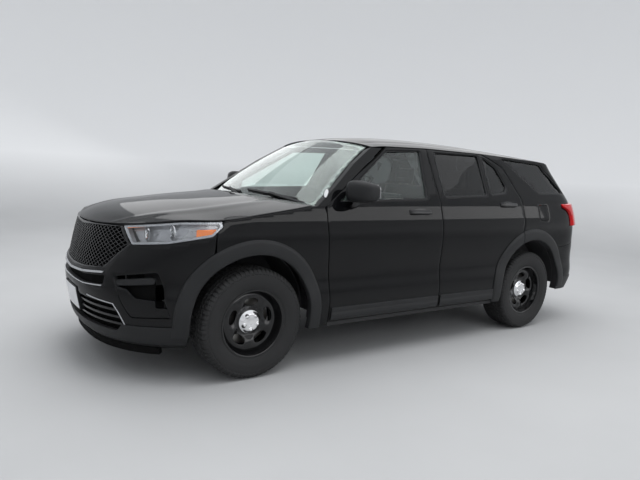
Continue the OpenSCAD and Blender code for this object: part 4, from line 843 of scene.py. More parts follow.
class Lines:
    """Shut lines and outlines on the skin that neighbouring panels share."""

    door_front = np.array([[0.187, 0.2015], [0.283, 0.2015], [0.602, 0.1856], [0.672, 0.1860], [0.950, 0.4355]])
    pillar = np.array([[0.187, 0.5837], [0.7077, 0.5820], [0.950, 0.5912]])
    door_rear = np.array([[0.187, 0.9516], [0.508, 0.9516], [0.5575, 0.9542], [0.587, 0.9618], [0.724, 0.9595],
                          [0.8895, 0.9201], [0.950, 0.8355]])
    rows = np.array([0.187, 0.230, 0.272, 0.317, 0.363, 0.400, 0.460, 0.508, 0.5575, 0.602, 0.652, 0.672, 0.724,
                     0.800, 0.8895, 0.9475])
    bend_row = 0.8
    shut = np.array([[-0.478, 0.6735], [-0.320, 0.6590], [-0.045, 0.6370], [0.236, 0.6147], [0.30, 0.612]])
    gate = np.array([[0.490, 0.720], [0.570, 0.735], [0.700, 0.700], [0.800, 0.665], [0.900, 0.630], [0.940, 0.610]])
    bumper_top = np.array([[0.30, 0.430], [0.62, 0.490], [0.80, 0.520], [1.0, 0.520]])
    front_window = [[0.226, 0.689], [0.535, 0.709], [0.5640, 0.9366], [0.431, 0.923]]
    rear_window = [[0.6058, 0.7195], [0.8005, 0.7326], [0.8187, 0.9405], [0.618, 0.9354]]
    rear_pane = [[0.816, 0.7350], [0.8898, 0.7456], [0.9086, 0.7802], [0.887, 0.8838], [0.834, 0.9360]]
    quarter_window = [[1.0686, 0.7524], [1.1886, 0.7575], [1.1383, 0.9241], [0.9281, 0.9348]]
    gate_window = [[-0.60, 0.735], [0.60, 0.735], [0.54, 0.905], [-0.54, 0.905]]
    grille = [[0.5800, 0.5720], [0.670, 0.5093], [0.5127, 0.4142], [0.27, 0.398], [0.0, 0.388], [-0.27, 0.398],
              [-0.5127, 0.4142], [-0.670, 0.5093], [-0.5800, 0.5720], [-0.30, 0.5650], [0.0, 0.5610], [0.30, 0.5650]]
    slot = [[-0.516, 0.352], [-0.3, 0.342], [0.3, 0.342], [0.516, 0.352], [0.525, 0.388], [0.3, 0.376],
            [-0.3, 0.376], [-0.525, 0.388]]
    intake = [[-0.675, 0.187], [0.675, 0.187], [0.630, 0.262], [0.600, 0.289], [-0.600, 0.289], [-0.630, 0.262]]
    pocket = [[0.599, 0.392], [0.818, 0.419], [0.845, 0.365], [0.879, 0.2555], [0.7066, 0.247], [0.66, 0.300]]
    lamp_inner = np.array([[0.677, 0.5116], [0.8437, 0.5241], [0.863, 0.6010], [0.588, 0.5740]])
    lamp_outer = np.array([[0.325, 0.5541], [0.258, 0.5898], [0.262, 0.6070], [0.360, 0.6045]])
    tail_lamp = np.array([[0.507, 0.699, 0.516, 0.682], [0.640, 0.702, 0.600, 0.660], [0.760, 0.705, 0.630, 0.635],
                          [0.765, 0.650, 0.638, 0.605], [0.765, 0.575, 0.640, 0.575]])
    marker = np.array([[0.430, 0.5490], [0.330, 0.5590], [0.300, 0.5800], [0.425, 0.5760]])
    fuel = box((1.0446, 0.610), (1.0912, 0.690))

    @staticmethod
    def side_x(table: Array, z: Array) -> Array:
        """Place of a side line at a height."""
        return BODY.bx(lookup(table, np.asarray(z) / BODY.height))

    @classmethod
    def half_gap(cls, table: Array, z: Array) -> Array:
        """Half gap along a slanted line, even across it."""
        lean = (cls.side_x(table, z + 1) - cls.side_x(table, z - 1)) / 2
        return BODY.gap / 2 * np.sqrt(1 + lean ** 2)

    @classmethod
    def door_loop(cls, front: Array, rear: Array) -> Array:
        """Outline of a door between two side lines, level below and along the roof's side line above.

        Args:
            front: Front side line.
            rear: Rear side line.
        Returns:
            Closed outline on the skin.
        """
        z = BODY.hz(cls.rows)
        a = cls.side_x(front, z) - cls.half_gap(front, z)
        b = cls.side_x(rear, z) + cls.half_gap(rear, z)
        share = (cls.rows - cls.bend_row) / (cls.rows[-1] - cls.bend_row)
        under = 1.4 * BODY.gap
        za, zb = (np.where(share <= 0, z, mix(BODY.hz(cls.bend_row), BODY.roof_edge(x) - under, share)) for x in (a, b))
        x = mix(b[-1], a[-1], np.linspace(0, 1, 12)[1:-1])
        top = np.stack([x, BODY.roof_edge(x) - under], axis=1)
        loop = np.concatenate([np.stack([b, zb], axis=1), top, np.stack([a, za], axis=1)[::-1]])
        return rounded(loop, 9.0)

    @classmethod
    def lamp_loop(cls) -> Array:
        """Outline of the left headlamp, from the nose round to the side and back.

        Returns:
            Closed outline on the skin.
        """
        inner = placed(BODY.nose_at, BODY.hy(cls.lamp_inner[:, 0]), BODY.hz(cls.lamp_inner[:, 1]))
        outer = placed(BODY.at_x, BODY.nx(cls.lamp_outer[:, 0]), BODY.hz(cls.lamp_outer[:, 1]))
        return np.concatenate([inner[:2], outer, inner[2:]])

    @classmethod
    def tail_lamp_loop(cls) -> Array:
        """Outline of the left tail lamp, up its outer edge and down its inner one.

        Returns:
            Closed outline on the skin.
        """
        t = cls.tail_lamp
        outer, inner = (placed(BODY.at_x, BODY.tx(t[:, k]), BODY.hz(t[:, k + 1])) for k in (0, 2))
        return np.concatenate([outer, inner[::-1]])

    @classmethod
    def quarter_low(cls, s: Array) -> Array:
        """Height of the quarter panel's lower edge."""
        return BODY.hz(lookup(cls.bumper_top, (BODY.rear_x - s) / BODY.rear_overhang)) + 0.5

    @classmethod
    def gate_edge(cls, z: Array, more: float = 0.0) -> Array:
        """Liftgate's side edge on the tail at a height, moved out by a length."""
        return BODY.tail_at(BODY.hy(lookup(cls.gate, np.asarray(z) / BODY.height)) + more, z)


def patch(name: str, loop: Array, top: float, back: float, side: Side, finish: Finish, body: str = "body",
          node: str | None = None, roll: float = 1.5, spacing: float = 14.0, holes: Sequence[Array] = ()) -> None:
    """Trimmed patch on the skin between two depths.

    Args:
        name: Piece's name.
        loop: Outline on the skin.
        top: Depth of its face, negative for a raised one.
        back: Depth of its back.
        side: Side of the vehicle.
        finish: Material.
        body: Body that it rides on.
        node: Frame node that it stands for.
        roll: Radius of the rolled edge.
        spacing: Distance between the mesh's points.
        holes: Outlines cut from it.
    """
    points, faces, _ = Trim(loop, list(holes), spacing).solid(BODY.side_map(side), top, back, roll)
    make_piece(name, points, faces, finish, body, node)


@dataclass
class Panels:
    """Painted sheet panels: flat patterns bent onto the skin, with rolled edges and cut openings."""

    sheet: float = 30.0
    quarter: float = 60.0
    gate: float = 62.0
    roll: float = 3.2
    draft: float = 20.0
    door_t: tuple[float, float] = (110.0, 50.0)
    flap_t: float = 12.0
    hood_t: float = 34.0
    roof_t: float = 42.0
    press: float = 5.0
    hood_flat: tuple[float, float] = (1400.0, 800.0)
    roof_flat: tuple[float, float] = (2460.0, 680.0)

    def add(self, name: str, trim: Trim, surface: Mapping, back: float | Array, body: str, node: str,
            lining: Finish = Finishes.chassis, inner: Array | None = None, roll: float | None = None) -> None:
        """Makes one painted panel, lined on its back.

        Args:
            name: Piece's name.
            trim: Flat pattern.
            surface: Surface that it bends onto.
            back: Depth of its back.
            body: Body that it rides on.
            node: Frame node that it stands for.
            lining: Finish of the back.
            inner: Places of a drawn-in back.
            roll: Radius of the rolled edge.
        """
        points, faces, mask = trim.solid(surface, 0.0, back, self.roll if roll is None else roll, inner)
        make_piece(name, points, faces, Finishes.paint, body, node, second=(mask, lining))

    def fascia(self) -> None:
        """Front fascia with its grille, lamp and air openings."""
        b = BODY
        top_left = np.array([[0.0, 0.388], [0.27, 0.398], [0.5127, 0.4142], [0.670, 0.5093], [0.8437, 0.5241]])
        line = placed(b.nose_at, b.hy(top_left[:, 0]), b.hz(top_left[:, 1]))
        end = placed(b.at_x, b.nx([0.300]), b.hz([0.5541]))
        half = np.concatenate([line, end]) + (0, 12)
        low = np.array([[half[-1, 0], b.hz(0.136)]])
        left = np.concatenate([half, low])
        loop = np.concatenate([left, mirrored_nose(left)[:-1]])
        pocket = b.nose_loop(Lines.pocket)
        arch = b.arch(False)
        lamp = shrunk(rounded(Lines.lamp_loop(), 14.0), -3.0)
        holes = [b.nose_loop(Lines.grille, 8.0), b.nose_loop(Lines.slot), b.nose_loop(Lines.intake), pocket,
                 mirrored_nose(pocket), arch, mirrored_nose(arch), lamp, mirrored_nose(lamp)]
        trim = Trim(loop, holes, spacing=24.0)
        self.add("fascia_shell", trim, b.side_map(Side.LEFT), self.sheet, "body", "front_fascia")

    def fenders(self) -> None:
        """Front fenders from the fascia to the doors, with the arch and lamp cut."""
        b = BODY
        f = np.linspace(0, 1, 24)
        front_table = np.array([[0.170, 0.298], [0.5541, 0.298], [0.5898, 0.298], [0.6113, 0.245], [0.62, 0.236]])
        back_table = np.array([[0.170, 0.2015], [0.283, 0.2015], [0.602, 0.1856], [0.672, 0.1860]])
        x0 = b.nx(lookup(front_table, mix(0.170, 0.6147, f))) - 0.5
        x1 = b.bx(lookup(back_table, mix(0.170, 0.672, f))) + b.gap / 2

        def row(x: Array, share: Array) -> Array:
            """Flat places between the sill and the hood's shut line.

            Args:
                x: Lengthwise positions.
                share: Share of the way up.
            Returns:
                One row a place.
            """
            high = b.hz(lookup(Lines.shut, (x - b.front_x) / b.front_overhang)) - b.gap
            z = mix(b.hz(0.170), high, share)
            return placed(b.at_x, x, z)
        top_x = mix(x1[-1], x0[-1], np.linspace(0, 1, 20)[1:-1])
        loop = np.concatenate([row(x1, f), row(top_x, np.ones(18)), row(x0, f)[::-1]])
        holes = [b.arch(False), shrunk(rounded(Lines.lamp_loop(), 14.0), -3.0)]
        trim = Trim(loop, holes, spacing=24.0)
        for side in Side:
            self.add(f"fender_{side.word}", trim, b.side_map(side), self.sheet, "body", "fenders")

    def doors(self) -> None:
        """Four doors, whole thickness, with windows cut and a lined inner side."""
        b = BODY
        plans = {
            "front_door": (Lines.door_front, Lines.pillar, [Lines.front_window], []),
            "rear_door": (Lines.pillar, Lines.door_rear, [Lines.rear_window, Lines.rear_pane],
                          [b.arch(True)]),
        }
        for name, (front, rear, windows, cuts) in plans.items():
            rim = Lines.door_loop(front, rear)
            trim = Trim(rim, [b.side_loop(w) for w in windows] + cuts)
            z = trim.places[:, 1]
            a, c = Lines.side_x(front, z), Lines.side_x(rear, z)
            inner = trim.places.copy()
            inner[:, 0] -= self.draft * (1 - 2 * (a - trim.places[:, 0]) / (a - c))
            depth = mix(*self.door_t, np.clip((z / b.height - 0.665) / 0.035, 0, 1))
            for side in Side:
                node = f"{name}_{side.word}"
                self.add(f"{node}_shell", trim, b.side_map(side), depth, node, node, Finishes.cabin, inner)
                patch(f"{node}_seal", shrunk(rim, -5.0), 5.0, 24.0, side, Finishes.seal, node,
                      holes=[shrunk(rim, 1.0), *cuts], roll=1.0, spacing=40.0)

    def quarters(self) -> None:
        """Rear quarter panels with window, arch, lamp and fuel openings."""
        b = BODY
        z = b.hz(np.linspace(0.43, 0.947, 40))
        x = Lines.side_x(Lines.door_rear, z) - Lines.half_gap(Lines.door_rear, z)
        top = b.roof_edge(x) - 3.0
        front = np.stack([x, np.minimum(z, top)], axis=1)
        zr = b.hz(np.linspace(0.49, 0.94, 40))
        edge = Lines.gate_edge(zr, 2 * b.gap)
        high = b.roof_edge(b.point(edge, zr, np.zeros(40))[:, 0]) - 3.0
        keep = (zr < high) & (zr > Lines.quarter_low(edge))
        rear = np.stack([edge, zr], axis=1)[keep]
        s_top = mix(front[-1, 0], rear[-1, 0], np.linspace(0, 1, 20)[1:])
        z_top = b.roof_edge(b.point(s_top, np.full(19, b.hz(0.935)), np.zeros(19))[:, 0]) - 3.0
        s_low = mix(rear[0, 0], front[0, 0], np.linspace(0, 1, 20)[:-1])
        low = np.stack([s_low, Lines.quarter_low(s_low)], axis=1)
        loop = np.concatenate([front, np.stack([s_top, z_top], axis=1), rear[::-1][1:], low])
        lamp = shrunk(rounded(Lines.tail_lamp_loop(), 10.0), -2.0)
        window = b.side_loop(Lines.quarter_window, 34.0)
        holes = [window, b.arch(True), lamp]
        fuel = b.side_loop(Lines.fuel, 22.0)
        for side in Side:
            cuts = holes + ([shrunk(fuel, -5.0)] if side is Side.LEFT else [])
            self.add(f"quarter_{side.word}", Trim(loop, cuts, spacing=24.0), b.side_map(side), self.quarter, "body",
                     "quarter_panels", Finishes.cabin)
        self.add("fuel_flap", Trim(fuel, spacing=20.0), b.side_map(Side.LEFT), self.flap_t, "fuel_door",
                 "fuel_door", roll=2.4)

    def bumper(self) -> None:
        """Rear bumper under the liftgate and quarters."""
        b = BODY
        start = float(b.at_x(b.tx(0.25), b.hz(0.42)))
        s = np.concatenate([mix(start, b.tail_s, np.linspace(0, 1, 8)),
                            mix(b.tail_s, -b.length / 2, np.linspace(0, 1, 30)[1:])])
        top = np.stack([s, Lines.quarter_low(s) - 4.0], axis=1)
        line = np.concatenate([top, mirrored_tail(top[:-1])])
        low = np.stack([line[::-1, 0], np.full(len(line), b.hz(0.205))], axis=1)
        arch = b.arch(True)
        other = mirrored_tail(arch)
        trim = Trim(np.concatenate([line, low]), [arch, other])
        self.add("bumper_rear_shell", trim, b.side_map(Side.LEFT), self.quarter, "body", "rear_bumper")
        high = np.stack([line[:, 0], np.full(len(line), b.hz(0.275))], axis=1)
        patch("bumper_cover", np.concatenate([high, low + (0, -6.0)]), -5.0, -0.4, Side.LEFT, Finishes.moulding,
              holes=[arch, other], roll=3.0, spacing=26.0)

    def liftgate(self) -> None:
        """Liftgate with its window, its lamp recesses and the spoiler at its top."""
        b = BODY
        z = b.hz(np.linspace(0.535, 0.925, 30))
        left = np.stack([Lines.gate_edge(z), z], axis=1)
        loop = rounded(np.concatenate([left, mirrored_tail(left)]), 12.0)
        lamp = GateTrim.lamp_loop()
        other = mirrored_tail(lamp)
        trim = Trim(loop, [b.tail_loop(Lines.gate_window), shrunk(lamp, -2.0), shrunk(other, -2.0)])
        middle = np.array([-b.length / 2, b.hz(0.73)])
        inner = trim.places - (trim.places - middle) * (self.draft / 800.0)
        self.add("liftgate_shell", trim, b.side_map(Side.LEFT), self.gate, "liftgate", "liftgate",
                 lining=Finishes.cabin, inner=inner)
        u, v = np.meshgrid(np.linspace(-1, 1, 41), np.linspace(0, 1, 9))
        x = b.bx(mix(1.1775, 1.232, v))
        z = b.hz(smooth_table(np.array([[1.1775, 0.9555], [1.205, 0.948], [1.232, 0.938]]), mix(1.1775, 1.232, v)))
        z = z - b.hz(0.024) * np.abs(u) ** 2.6
        upper = np.stack([x, u * b.hy(0.569), z], axis=-1)
        make_piece("spoiler", *shell(upper, upper - (0, 0, self.sheet)), Finishes.paint, "liftgate")

    def hood(self) -> None:
        """Hood: rows of a table joined by smooth curves, crowned across, with two long creases."""
        b = BODY
        rows = np.array([
            [-0.478, 0.6735, -0.352, 0.6865], [-0.320, 0.6590, -0.170, 0.6775], [-0.045, 0.6370, 0.080, 0.6650],
            [0.236, 0.6147, 0.330, 0.6504], [0.482, 0.6096, 0.590, 0.6277], [0.652, 0.5960, 0.766, 0.6040],
            [0.785, 0.5841, 0.912, 0.5680]])
        place = np.arange(len(rows)) / (len(rows) - 1)

        def bend(p: Array, d: Array) -> Array:
            """Hood point: edge and centre rows at the share along, mixed by powers of the share across.

            Args:
                p: Flat places, along and across.
                d: Depth under the face, less towards the rim.
            Returns:
                One row a point.
            """
            v, u = (p / self.hood_flat).T
            ex, ez, cx, cz = (smooth_table(np.stack([place, rows[:, k]], axis=1), v) for k in range(4))
            e = b.point(b.at_x(b.nx(ex), b.hz(ez)), b.hz(ez), np.full(len(v), b.gap))
            x = mix(b.nx(cx), e[:, 0], u ** 2)
            z = mix(b.hz(cz), e[:, 2], np.abs(u) ** 2.5)
            crease = self.press * np.exp(-((np.abs(u) - mix(0.62, 0.74, v)) / 0.055) ** 2)
            crease *= np.clip(4 * v * (1.15 - v), 0, 1)
            lip = np.clip((1 - np.abs(u)) / 0.05, 0, 1) * np.clip((1 - v) / 0.05, 0, 1) * np.clip(v / 0.04, 0, 1)
            drop = np.minimum(d, 1.5 + 32.0 * lip)
            return np.stack([x, u * e[:, 1], z + crease * lip - drop], axis=1)
        long, wide = self.hood_flat
        self.add("hood_shell", Trim(box((0.0, -wide), (long, wide))), bend, self.hood_t, "hood", "hood",
                 roll=1.4)

    def roof(self) -> None:
        """Roof: a smooth centre line crowned down to the roof's side lines, with two long pressed channels."""
        b = BODY
        table = np.array([[0.3590, 0.9650], [0.440, 0.9860], [0.540, 0.9965], [0.660, 1.0000], [0.800, 0.9970],
                          [0.960, 0.9850], [1.080, 0.9720], [1.172, 0.9570]])

        def bend(p: Array, d: Array) -> Array:
            """Roof point: centre line and side line mixed by a power of the share across, drawn in under its rim.

            Args:
                p: Flat places, along and across.
                d: Depth under the face.
            Returns:
                One row a point.
            """
            v, u = (p / self.roof_flat).T
            share = mix(table[0, 0], table[-1, 0], v)
            bow = 0.020 * b.wheelbase * np.clip(1 - v / 0.1, 0, 1)
            x = b.bx(share)
            edge = b.roof_edge(x - bow)
            under = np.clip((d - 2.0) / 40.0, 0, 1)
            y = b.half_at(edge) - under * 67.0
            z = mix(b.hz(smooth_table(table, share)) - d, edge + under, np.abs(u) ** 2.6)
            channel = self.press * np.exp(-((np.abs(u) - 0.80) / 0.03) ** 2) * np.clip(v / 0.05, 0, 1)
            return np.stack([x - bow * u ** 2 - 6.4, u * y, z - channel * (1 - under)], axis=1)
        long, wide = self.roof_flat
        self.add("roof_shell", Trim(box((0.0, -wide), (long, wide)), spacing=30.0), bend, self.roof_t, "body", "roof",
                 lining=Finishes.cabin, roll=2.0)

    def build(self) -> None:
        """Makes every painted panel."""
        for step in (self.fascia, self.fenders, self.doors, self.quarters, self.bumper, self.liftgate, self.hood,
                     self.roof):
            step()


def shell(upper: Array, lower: Array, ring: bool = False) -> tuple[Array, list[Array]]:
    """Closed solid between two grids of points of the same size.

    Args:
        upper: Outer grid, rows by columns by three.
        lower: Inner grid.
        ring: Repeat the first row after the last one.
    Returns:
        Points and faces.
    """
    if ring:
        upper, lower = (np.concatenate([grid, grid[:1]]) for grid in (upper, lower))
    r, c = upper.shape[:2]
    n = r * c
    points = np.concatenate([upper.reshape(-1, 3), lower.reshape(-1, 3)])
    quads = grid_quads(r, c)
    edge = np.concatenate([np.arange(c), np.arange(1, r) * c + c - 1, (r - 1) * c + np.arange(c - 2, -1, -1),
                           np.arange(r - 2, 0, -1) * c])
    ahead = np.roll(edge, -1)
    rim = np.stack([ahead, edge, edge + n, ahead + n], axis=1)
    return points, outward(points, [quads, quads[:, ::-1] + n, rim])


@dataclass
class Glazing:
    """Panes behind the window openings, and the windshield with its dark border."""

    depth: float = 16.0
    flat: tuple[float, float] = (800.0, 900.0)
    bulge: float = 26.0
    low: Sequence[float] = (0.1660, 0.1240, 0.9065, 0.6600, 0.6640)
    high: Sequence[float] = (0.3790, 0.3590, 0.6435, 0.9330, 0.9640)

    def pane(self, name: str, loop: Array, side: Side, finish: Finish, body: str, node: str) -> None:
        """One pane a little inside its opening, with its seal.

        Args:
            name: Piece's name.
            loop: Opening's outline on the skin.
            side: Side of the vehicle.
            finish: Glass finish.
            body: Body that it rides on.
            node: Frame node that it stands for.
        """
        patch(name, shrunk(loop, 1.0), self.depth, self.depth + BODY.glass_t, side, finish, body, node, 0.8, 60.0)
        patch(f"{name}_seal", shrunk(loop, 0.5), self.depth - 9.0, self.depth - 0.4, side, Finishes.moulding, body,
              roll=2.0, spacing=40.0, holes=[shrunk(loop, 13.0)])

    def bend(self, p: Array, d: Array) -> Array:
        """Windshield point: base and top lines bowed by the square of the share across, mixed by the share up.

        Args:
            p: Flat places, across and up.
            d: Depth behind the outer face.
        Returns:
            One row a point.
        """
        u, v = (p / self.flat).T
        side_x, mid_x, wide, side_z, mid_z = (mix(low, high, v) for low, high in zip(self.low, self.high))
        rise = self.bulge * 4 * v * (1 - v) - d
        x, z = BODY.bx(mix(mid_x, side_x, u ** 2)), BODY.hz(mix(mid_z, side_z, u ** 2))
        return np.stack([x + rise / 2, u * BODY.hy(wide), z + rise * 0.85], axis=1)

    def wiper(self, name: str, foot: float, reach: tuple[float, float]) -> None:
        """Wiper: an arm from its foot to a blade, both thin boxes carried over the windshield's surface.

        Args:
            name: Piece's name.
            foot: Crosswise place of the arm's foot.
            reach: Crosswise places of the blade's ends.
        """
        t = np.linspace(0, 1, 30)[:, None]
        corner = box((-1.0, 0.0), (1.0, 1.0))
        middle = (np.mean(reach), 78.0)
        lines = ((np.array([foot, 14.0]), np.array(middle), 9.0, (12.0, 24.0)),
                 (np.array([reach[0], 60.0]), np.array([reach[1], 92.0]), 6.0, (1.5, 15.0)))
        parts = []
        for start, end, wide, (near, far) in lines:
            path = mix(start, end, t)
            flat = np.repeat(path, 4, axis=0) + np.tile(corner[:, :1], (30, 1)) * (0.0, wide)
            lift = near + (far - near) * np.tile(corner[:, 1], 30)
            parts.append(capped(self.bend(flat, -lift).reshape(30, 4, 3)))
        make_piece(name, *joined(parts), Finishes.moulding, "body")

    def windshield(self) -> None:
        """Windshield: base and top lines bowed forward, bulged between, with a dark printed border."""
        self.wiper("wiper_left", 700.0, (610.0, -30.0))
        self.wiper("wiper_right", -80.0, (-120.0, -640.0))
        wide, high = self.flat
        loop = box((-wide, 0.0), (wide, high))
        points, faces, _ = Trim(loop, spacing=50.0).solid(self.bend, 0.0, BODY.glass_t, 0.8)
        make_piece("windshield_pane", points, faces, Finishes.clear_glass, "body", "windshield")
        hole = rounded(np.array([[-752.0, 42.0], [752.0, 42.0], [748.0, 862.0], [-748.0, 862.0]]), 60.0)
        points, faces, _ = Trim(loop * (0.995, 1) + (0, 2), [hole], spacing=40.0).solid(self.bend, 6.4, 8.0, 0.3)
        make_piece("windshield_border", points, faces, Finishes.bezel, "body")

    def build(self) -> None:
        """Makes every pane."""
        b = BODY
        self.windshield()
        for side in Side:
            w = side.word
            for name, lines, corner, finish, body, node in (
                    ("front", Lines.front_window, 26.0, Finishes.clear_glass, f"front_door_{w}", f"front_glass_{w}"),
                    ("rear", Lines.rear_window, 26.0, Finishes.dark_glass, f"rear_door_{w}", f"rear_glass_{w}"),
                    ("rear_small", Lines.rear_pane, 26.0, Finishes.dark_glass, f"rear_door_{w}", f"rear_glass_{w}"),
                    ("quarter", Lines.quarter_window, 34.0, Finishes.dark_glass, "body", "quarter_glass")):
                self.pane(f"{name}_pane_{w}", b.side_loop(lines, corner), side, finish, body, node)
        self.pane("liftgate_pane", b.tail_loop(Lines.gate_window), Side.LEFT, Finishes.dark_glass, "liftgate",
                  "liftgate_glass")


@dataclass
class GateTrim:
    """Lamps, blank plate and grip on the liftgate, reflectors on the bumper and the plug on the left pillar."""

    plug: tuple[float, float] = (985.0, 1272.0)

    @staticmethod
    def lamp_loop() -> Array:
        """Outline of the left liftgate lamp on the tail."""
        return BODY.tail_loop([[0.40, 0.650], [0.66, 0.650], [0.655, 0.690], [0.40, 0.690]], 8.0)

    def build(self) -> None:
        """Makes every piece."""
        left = Side.LEFT
        for name, wide, low, high, corner, top, back, finish, roll in (
                ("gate_plate_frame", 0.20, 0.552, 0.660, 14.0, -2.5, -0.3, Finishes.moulding, 1.5),
                ("gate_plate", 0.152, 0.563, 0.649, 10.0, -4.5, -2.6, Finishes.plate, 0.6),
                ("gate_grip", 0.36, 0.674, 0.694, 10.0, -9.0, -0.3, Finishes.moulding, 6.0)):
            loop = BODY.tail_loop(box((-wide, low), (wide, high)), corner)
            patch(name, loop, top, back, left, finish, "liftgate", roll=roll)
        glass = BODY.tail_loop(box((0.58, 0.305), (0.78, 0.325)), 10.0)
        a = angles(48)
        x = self.plug[0] - 20.0 * np.cos(a) + 11.0 * np.sin(a)
        z = self.plug[1] + 29.0 * np.cos(a) + 8.0 * np.sin(a)
        patch("pillar_plug", placed(BODY.at_x, x, z), -7.0, 2.0, left, Finishes.chrome, roll=5.0, spacing=5.0)
        for side in Side:
            patch(f"liftgate_lamp_{side.word}", self.lamp_loop(), 0.0, 12.0, side, Finishes.red, "liftgate",
                  "liftgate_lamps", 2.0, 16.0)
            patch(f"reflector_{side.word}", glass, -3.0, -0.3, side, Finishes.red_dark)


@dataclass
class Mouldings:
    """Dark grey mouldings: arch flares and door cladding; and the doors' mirrors and handles."""

    flare_t: float = 22.0
    clad_t: float = 14.0
    handle_l: float = 250.0
    handle_lift: float = 24.0
    handle_half: tuple[float, float] = (17.0, 7.0)
    cup_half: tuple[float, float] = (86.0, 30.0)
    mirror_half: tuple[float, float, float] = (80.0, 114.0, 77.0)
    mirror_flat: float = 60.0
    mirror_sweep: float = 0.22
    mirror_glass: tuple[float, float] = (94.0, 60.0)
    mirror_foot: tuple[float, float] = (34.0, 15.0)

    @staticmethod
    def strip(name: str, s: Array, z: Array, stand: Array, side: Side, body: str, node: str) -> None:
        """Moulding over rows of a profile on the skin, capped at both ends.

        Args:
            name: Piece's name.
            s: Places along the skin, rows by profile points.
            z: Heights.
            stand: Stand-off of each profile point.
            side: Side of the vehicle.
            body: Body that it rides on.
            node: Frame node that it stands for.
        """
        s, z, stand = np.broadcast_arrays(s, z, stand)
        points = BODY.point(s.ravel(), z.ravel(), -stand.ravel()) * side.flip
        make_piece(name, *capped(points.reshape(*s.shape, 3)), Finishes.moulding, body, node, sharp=50.0)

    def flare(self, name: str, rear: bool, span: tuple[Array | float, Array | float], side: Side, body: str, node: str,
              stand: float) -> None:
        """Arch flare: a rounded profile of radius and stand-off carried round the arch and down its upright legs.

        Args:
            name: Piece's name.
            rear: True for a rear arch.
            span: First and last angle in degrees, or seams as lengthwise places.
            side: Side of the vehicle.
            body: Body that it rides on.
            node: Frame node that it stands for.
            stand: Clearance over the skin.
        """
        b = BODY
        t = self.flare_t
        x, inside, outside = b.arch_place(rear)
        profile = np.array([
            [0.0, stand], [0.0, t * 0.72], [0.03, t * 0.92], [0.09, t], [0.31, t * 0.98], [0.55, t * 0.92],
            [0.77, t * 0.82], [0.83, t * 0.76], [0.87, t * 0.62], [0.92, t * 0.56], [0.97, t * 0.42],
            [1.0, stand + 1.0], [1.0, stand]])
        r = mix(inside, outside, profile[:, 0])
        first, last = (v if abs(v) <= FULL_TURN else np.degrees(np.arccos((v - x) / r)) for v in span)
        angle = mix(first, last, np.linspace(0, 1, 80)[:, None]) + 0 * r
        bent = np.clip(angle, 0, 180)
        z = b.arch_z + r * np.sin(np.radians(bent)) - np.radians(np.abs(angle - bent)) * inside
        s = b.at_x(x + r * np.cos(np.radians(bent)), z)
        self.strip(name, s, z, profile[:, 1], side, body, node)

    def cladding(self, name: str, front: Array, rear: Array, side: Side, body: str, node: str) -> None:
        """Door cladding: a stepped profile of height and stand-off carried along the door's lower edge.

        Args:
            name: Piece's name.
            front: Front side line.
            rear: Rear side line.
            side: Side of the vehicle.
            body: Body that it rides on.
            node: Frame node that it stands for.
        """
        b = BODY
        t = self.clad_t
        low, high = b.hz(0.187) + 12.0, b.hz(0.250)
        profile = np.array([[0.0, 0.4], [0.0, t * 0.6], [0.05, t * 0.9], [0.12, t], [0.55, t], [0.60, t * 0.72],
                            [0.66, t * 0.70], [0.90, t * 0.82], [0.97, t * 0.6], [1.0, 0.4]])
        z = mix(low, high, profile[:, 0])
        a = Lines.side_x(front, z) - b.gap / 2 - 12.0
        c = Lines.side_x(rear, z) + b.gap / 2 + 12.0
        if rear is Lines.door_rear:
            x, _, flare = b.arch_place(True)
            c = np.maximum(c, x + flare + b.arch_clear)
        self.strip(name, mix(a, c, np.linspace(0, 1, 24)[:, None]), z, profile[:, 1], side, body, node)

    def handle(self, name: str, share: tuple[float, float], side: Side, body: str) -> None:
        """Strap handle: a rounded profile carried along a path that leaves the skin and comes back.

        Args:
            name: Piece's name.
            share: Wheelbase share of its front end and height share.
            side: Side of the vehicle.
            body: Body that it rides on.
        """
        b, t = BODY, np.linspace(0, 1, 40)
        front, z = b.bx(share[0]), b.hz(share[1])
        lift = self.handle_lift * (1 - np.abs(2 * t - 1) ** 8) - 4.0
        path = b.point(front - self.handle_l * t, np.full(40, float(z)), -lift) * side.flip
        a = angles(16)
        shape = np.stack([power(np.cos(a), 0.7), power(np.sin(a), 0.8)], axis=1) * self.handle_half
        points, faces = swept(shape, path, [0, -0.3 * side.value, 1.0], [0, side.value, 0.3])
        make_piece(name, points, faces, Finishes.mesh, body)
        w, r = angles(48)[:, None], np.linspace(0, 1, 8)
        middle = np.array([front - self.handle_l / 2, z])
        cup = np.stack([r * np.cos(w), r * np.sin(w)], axis=-1) * self.cup_half + middle
        face, back = (b.side_map(side)(cup.reshape(-1, 2), np.full(w.size * r.size, depth)).reshape(*cup.shape[:2], 3)
                      for depth in (-0.6, 1.5))
        make_piece(f"{name}_cup", *shell(face, back, ring=True), Finishes.mesh, body)

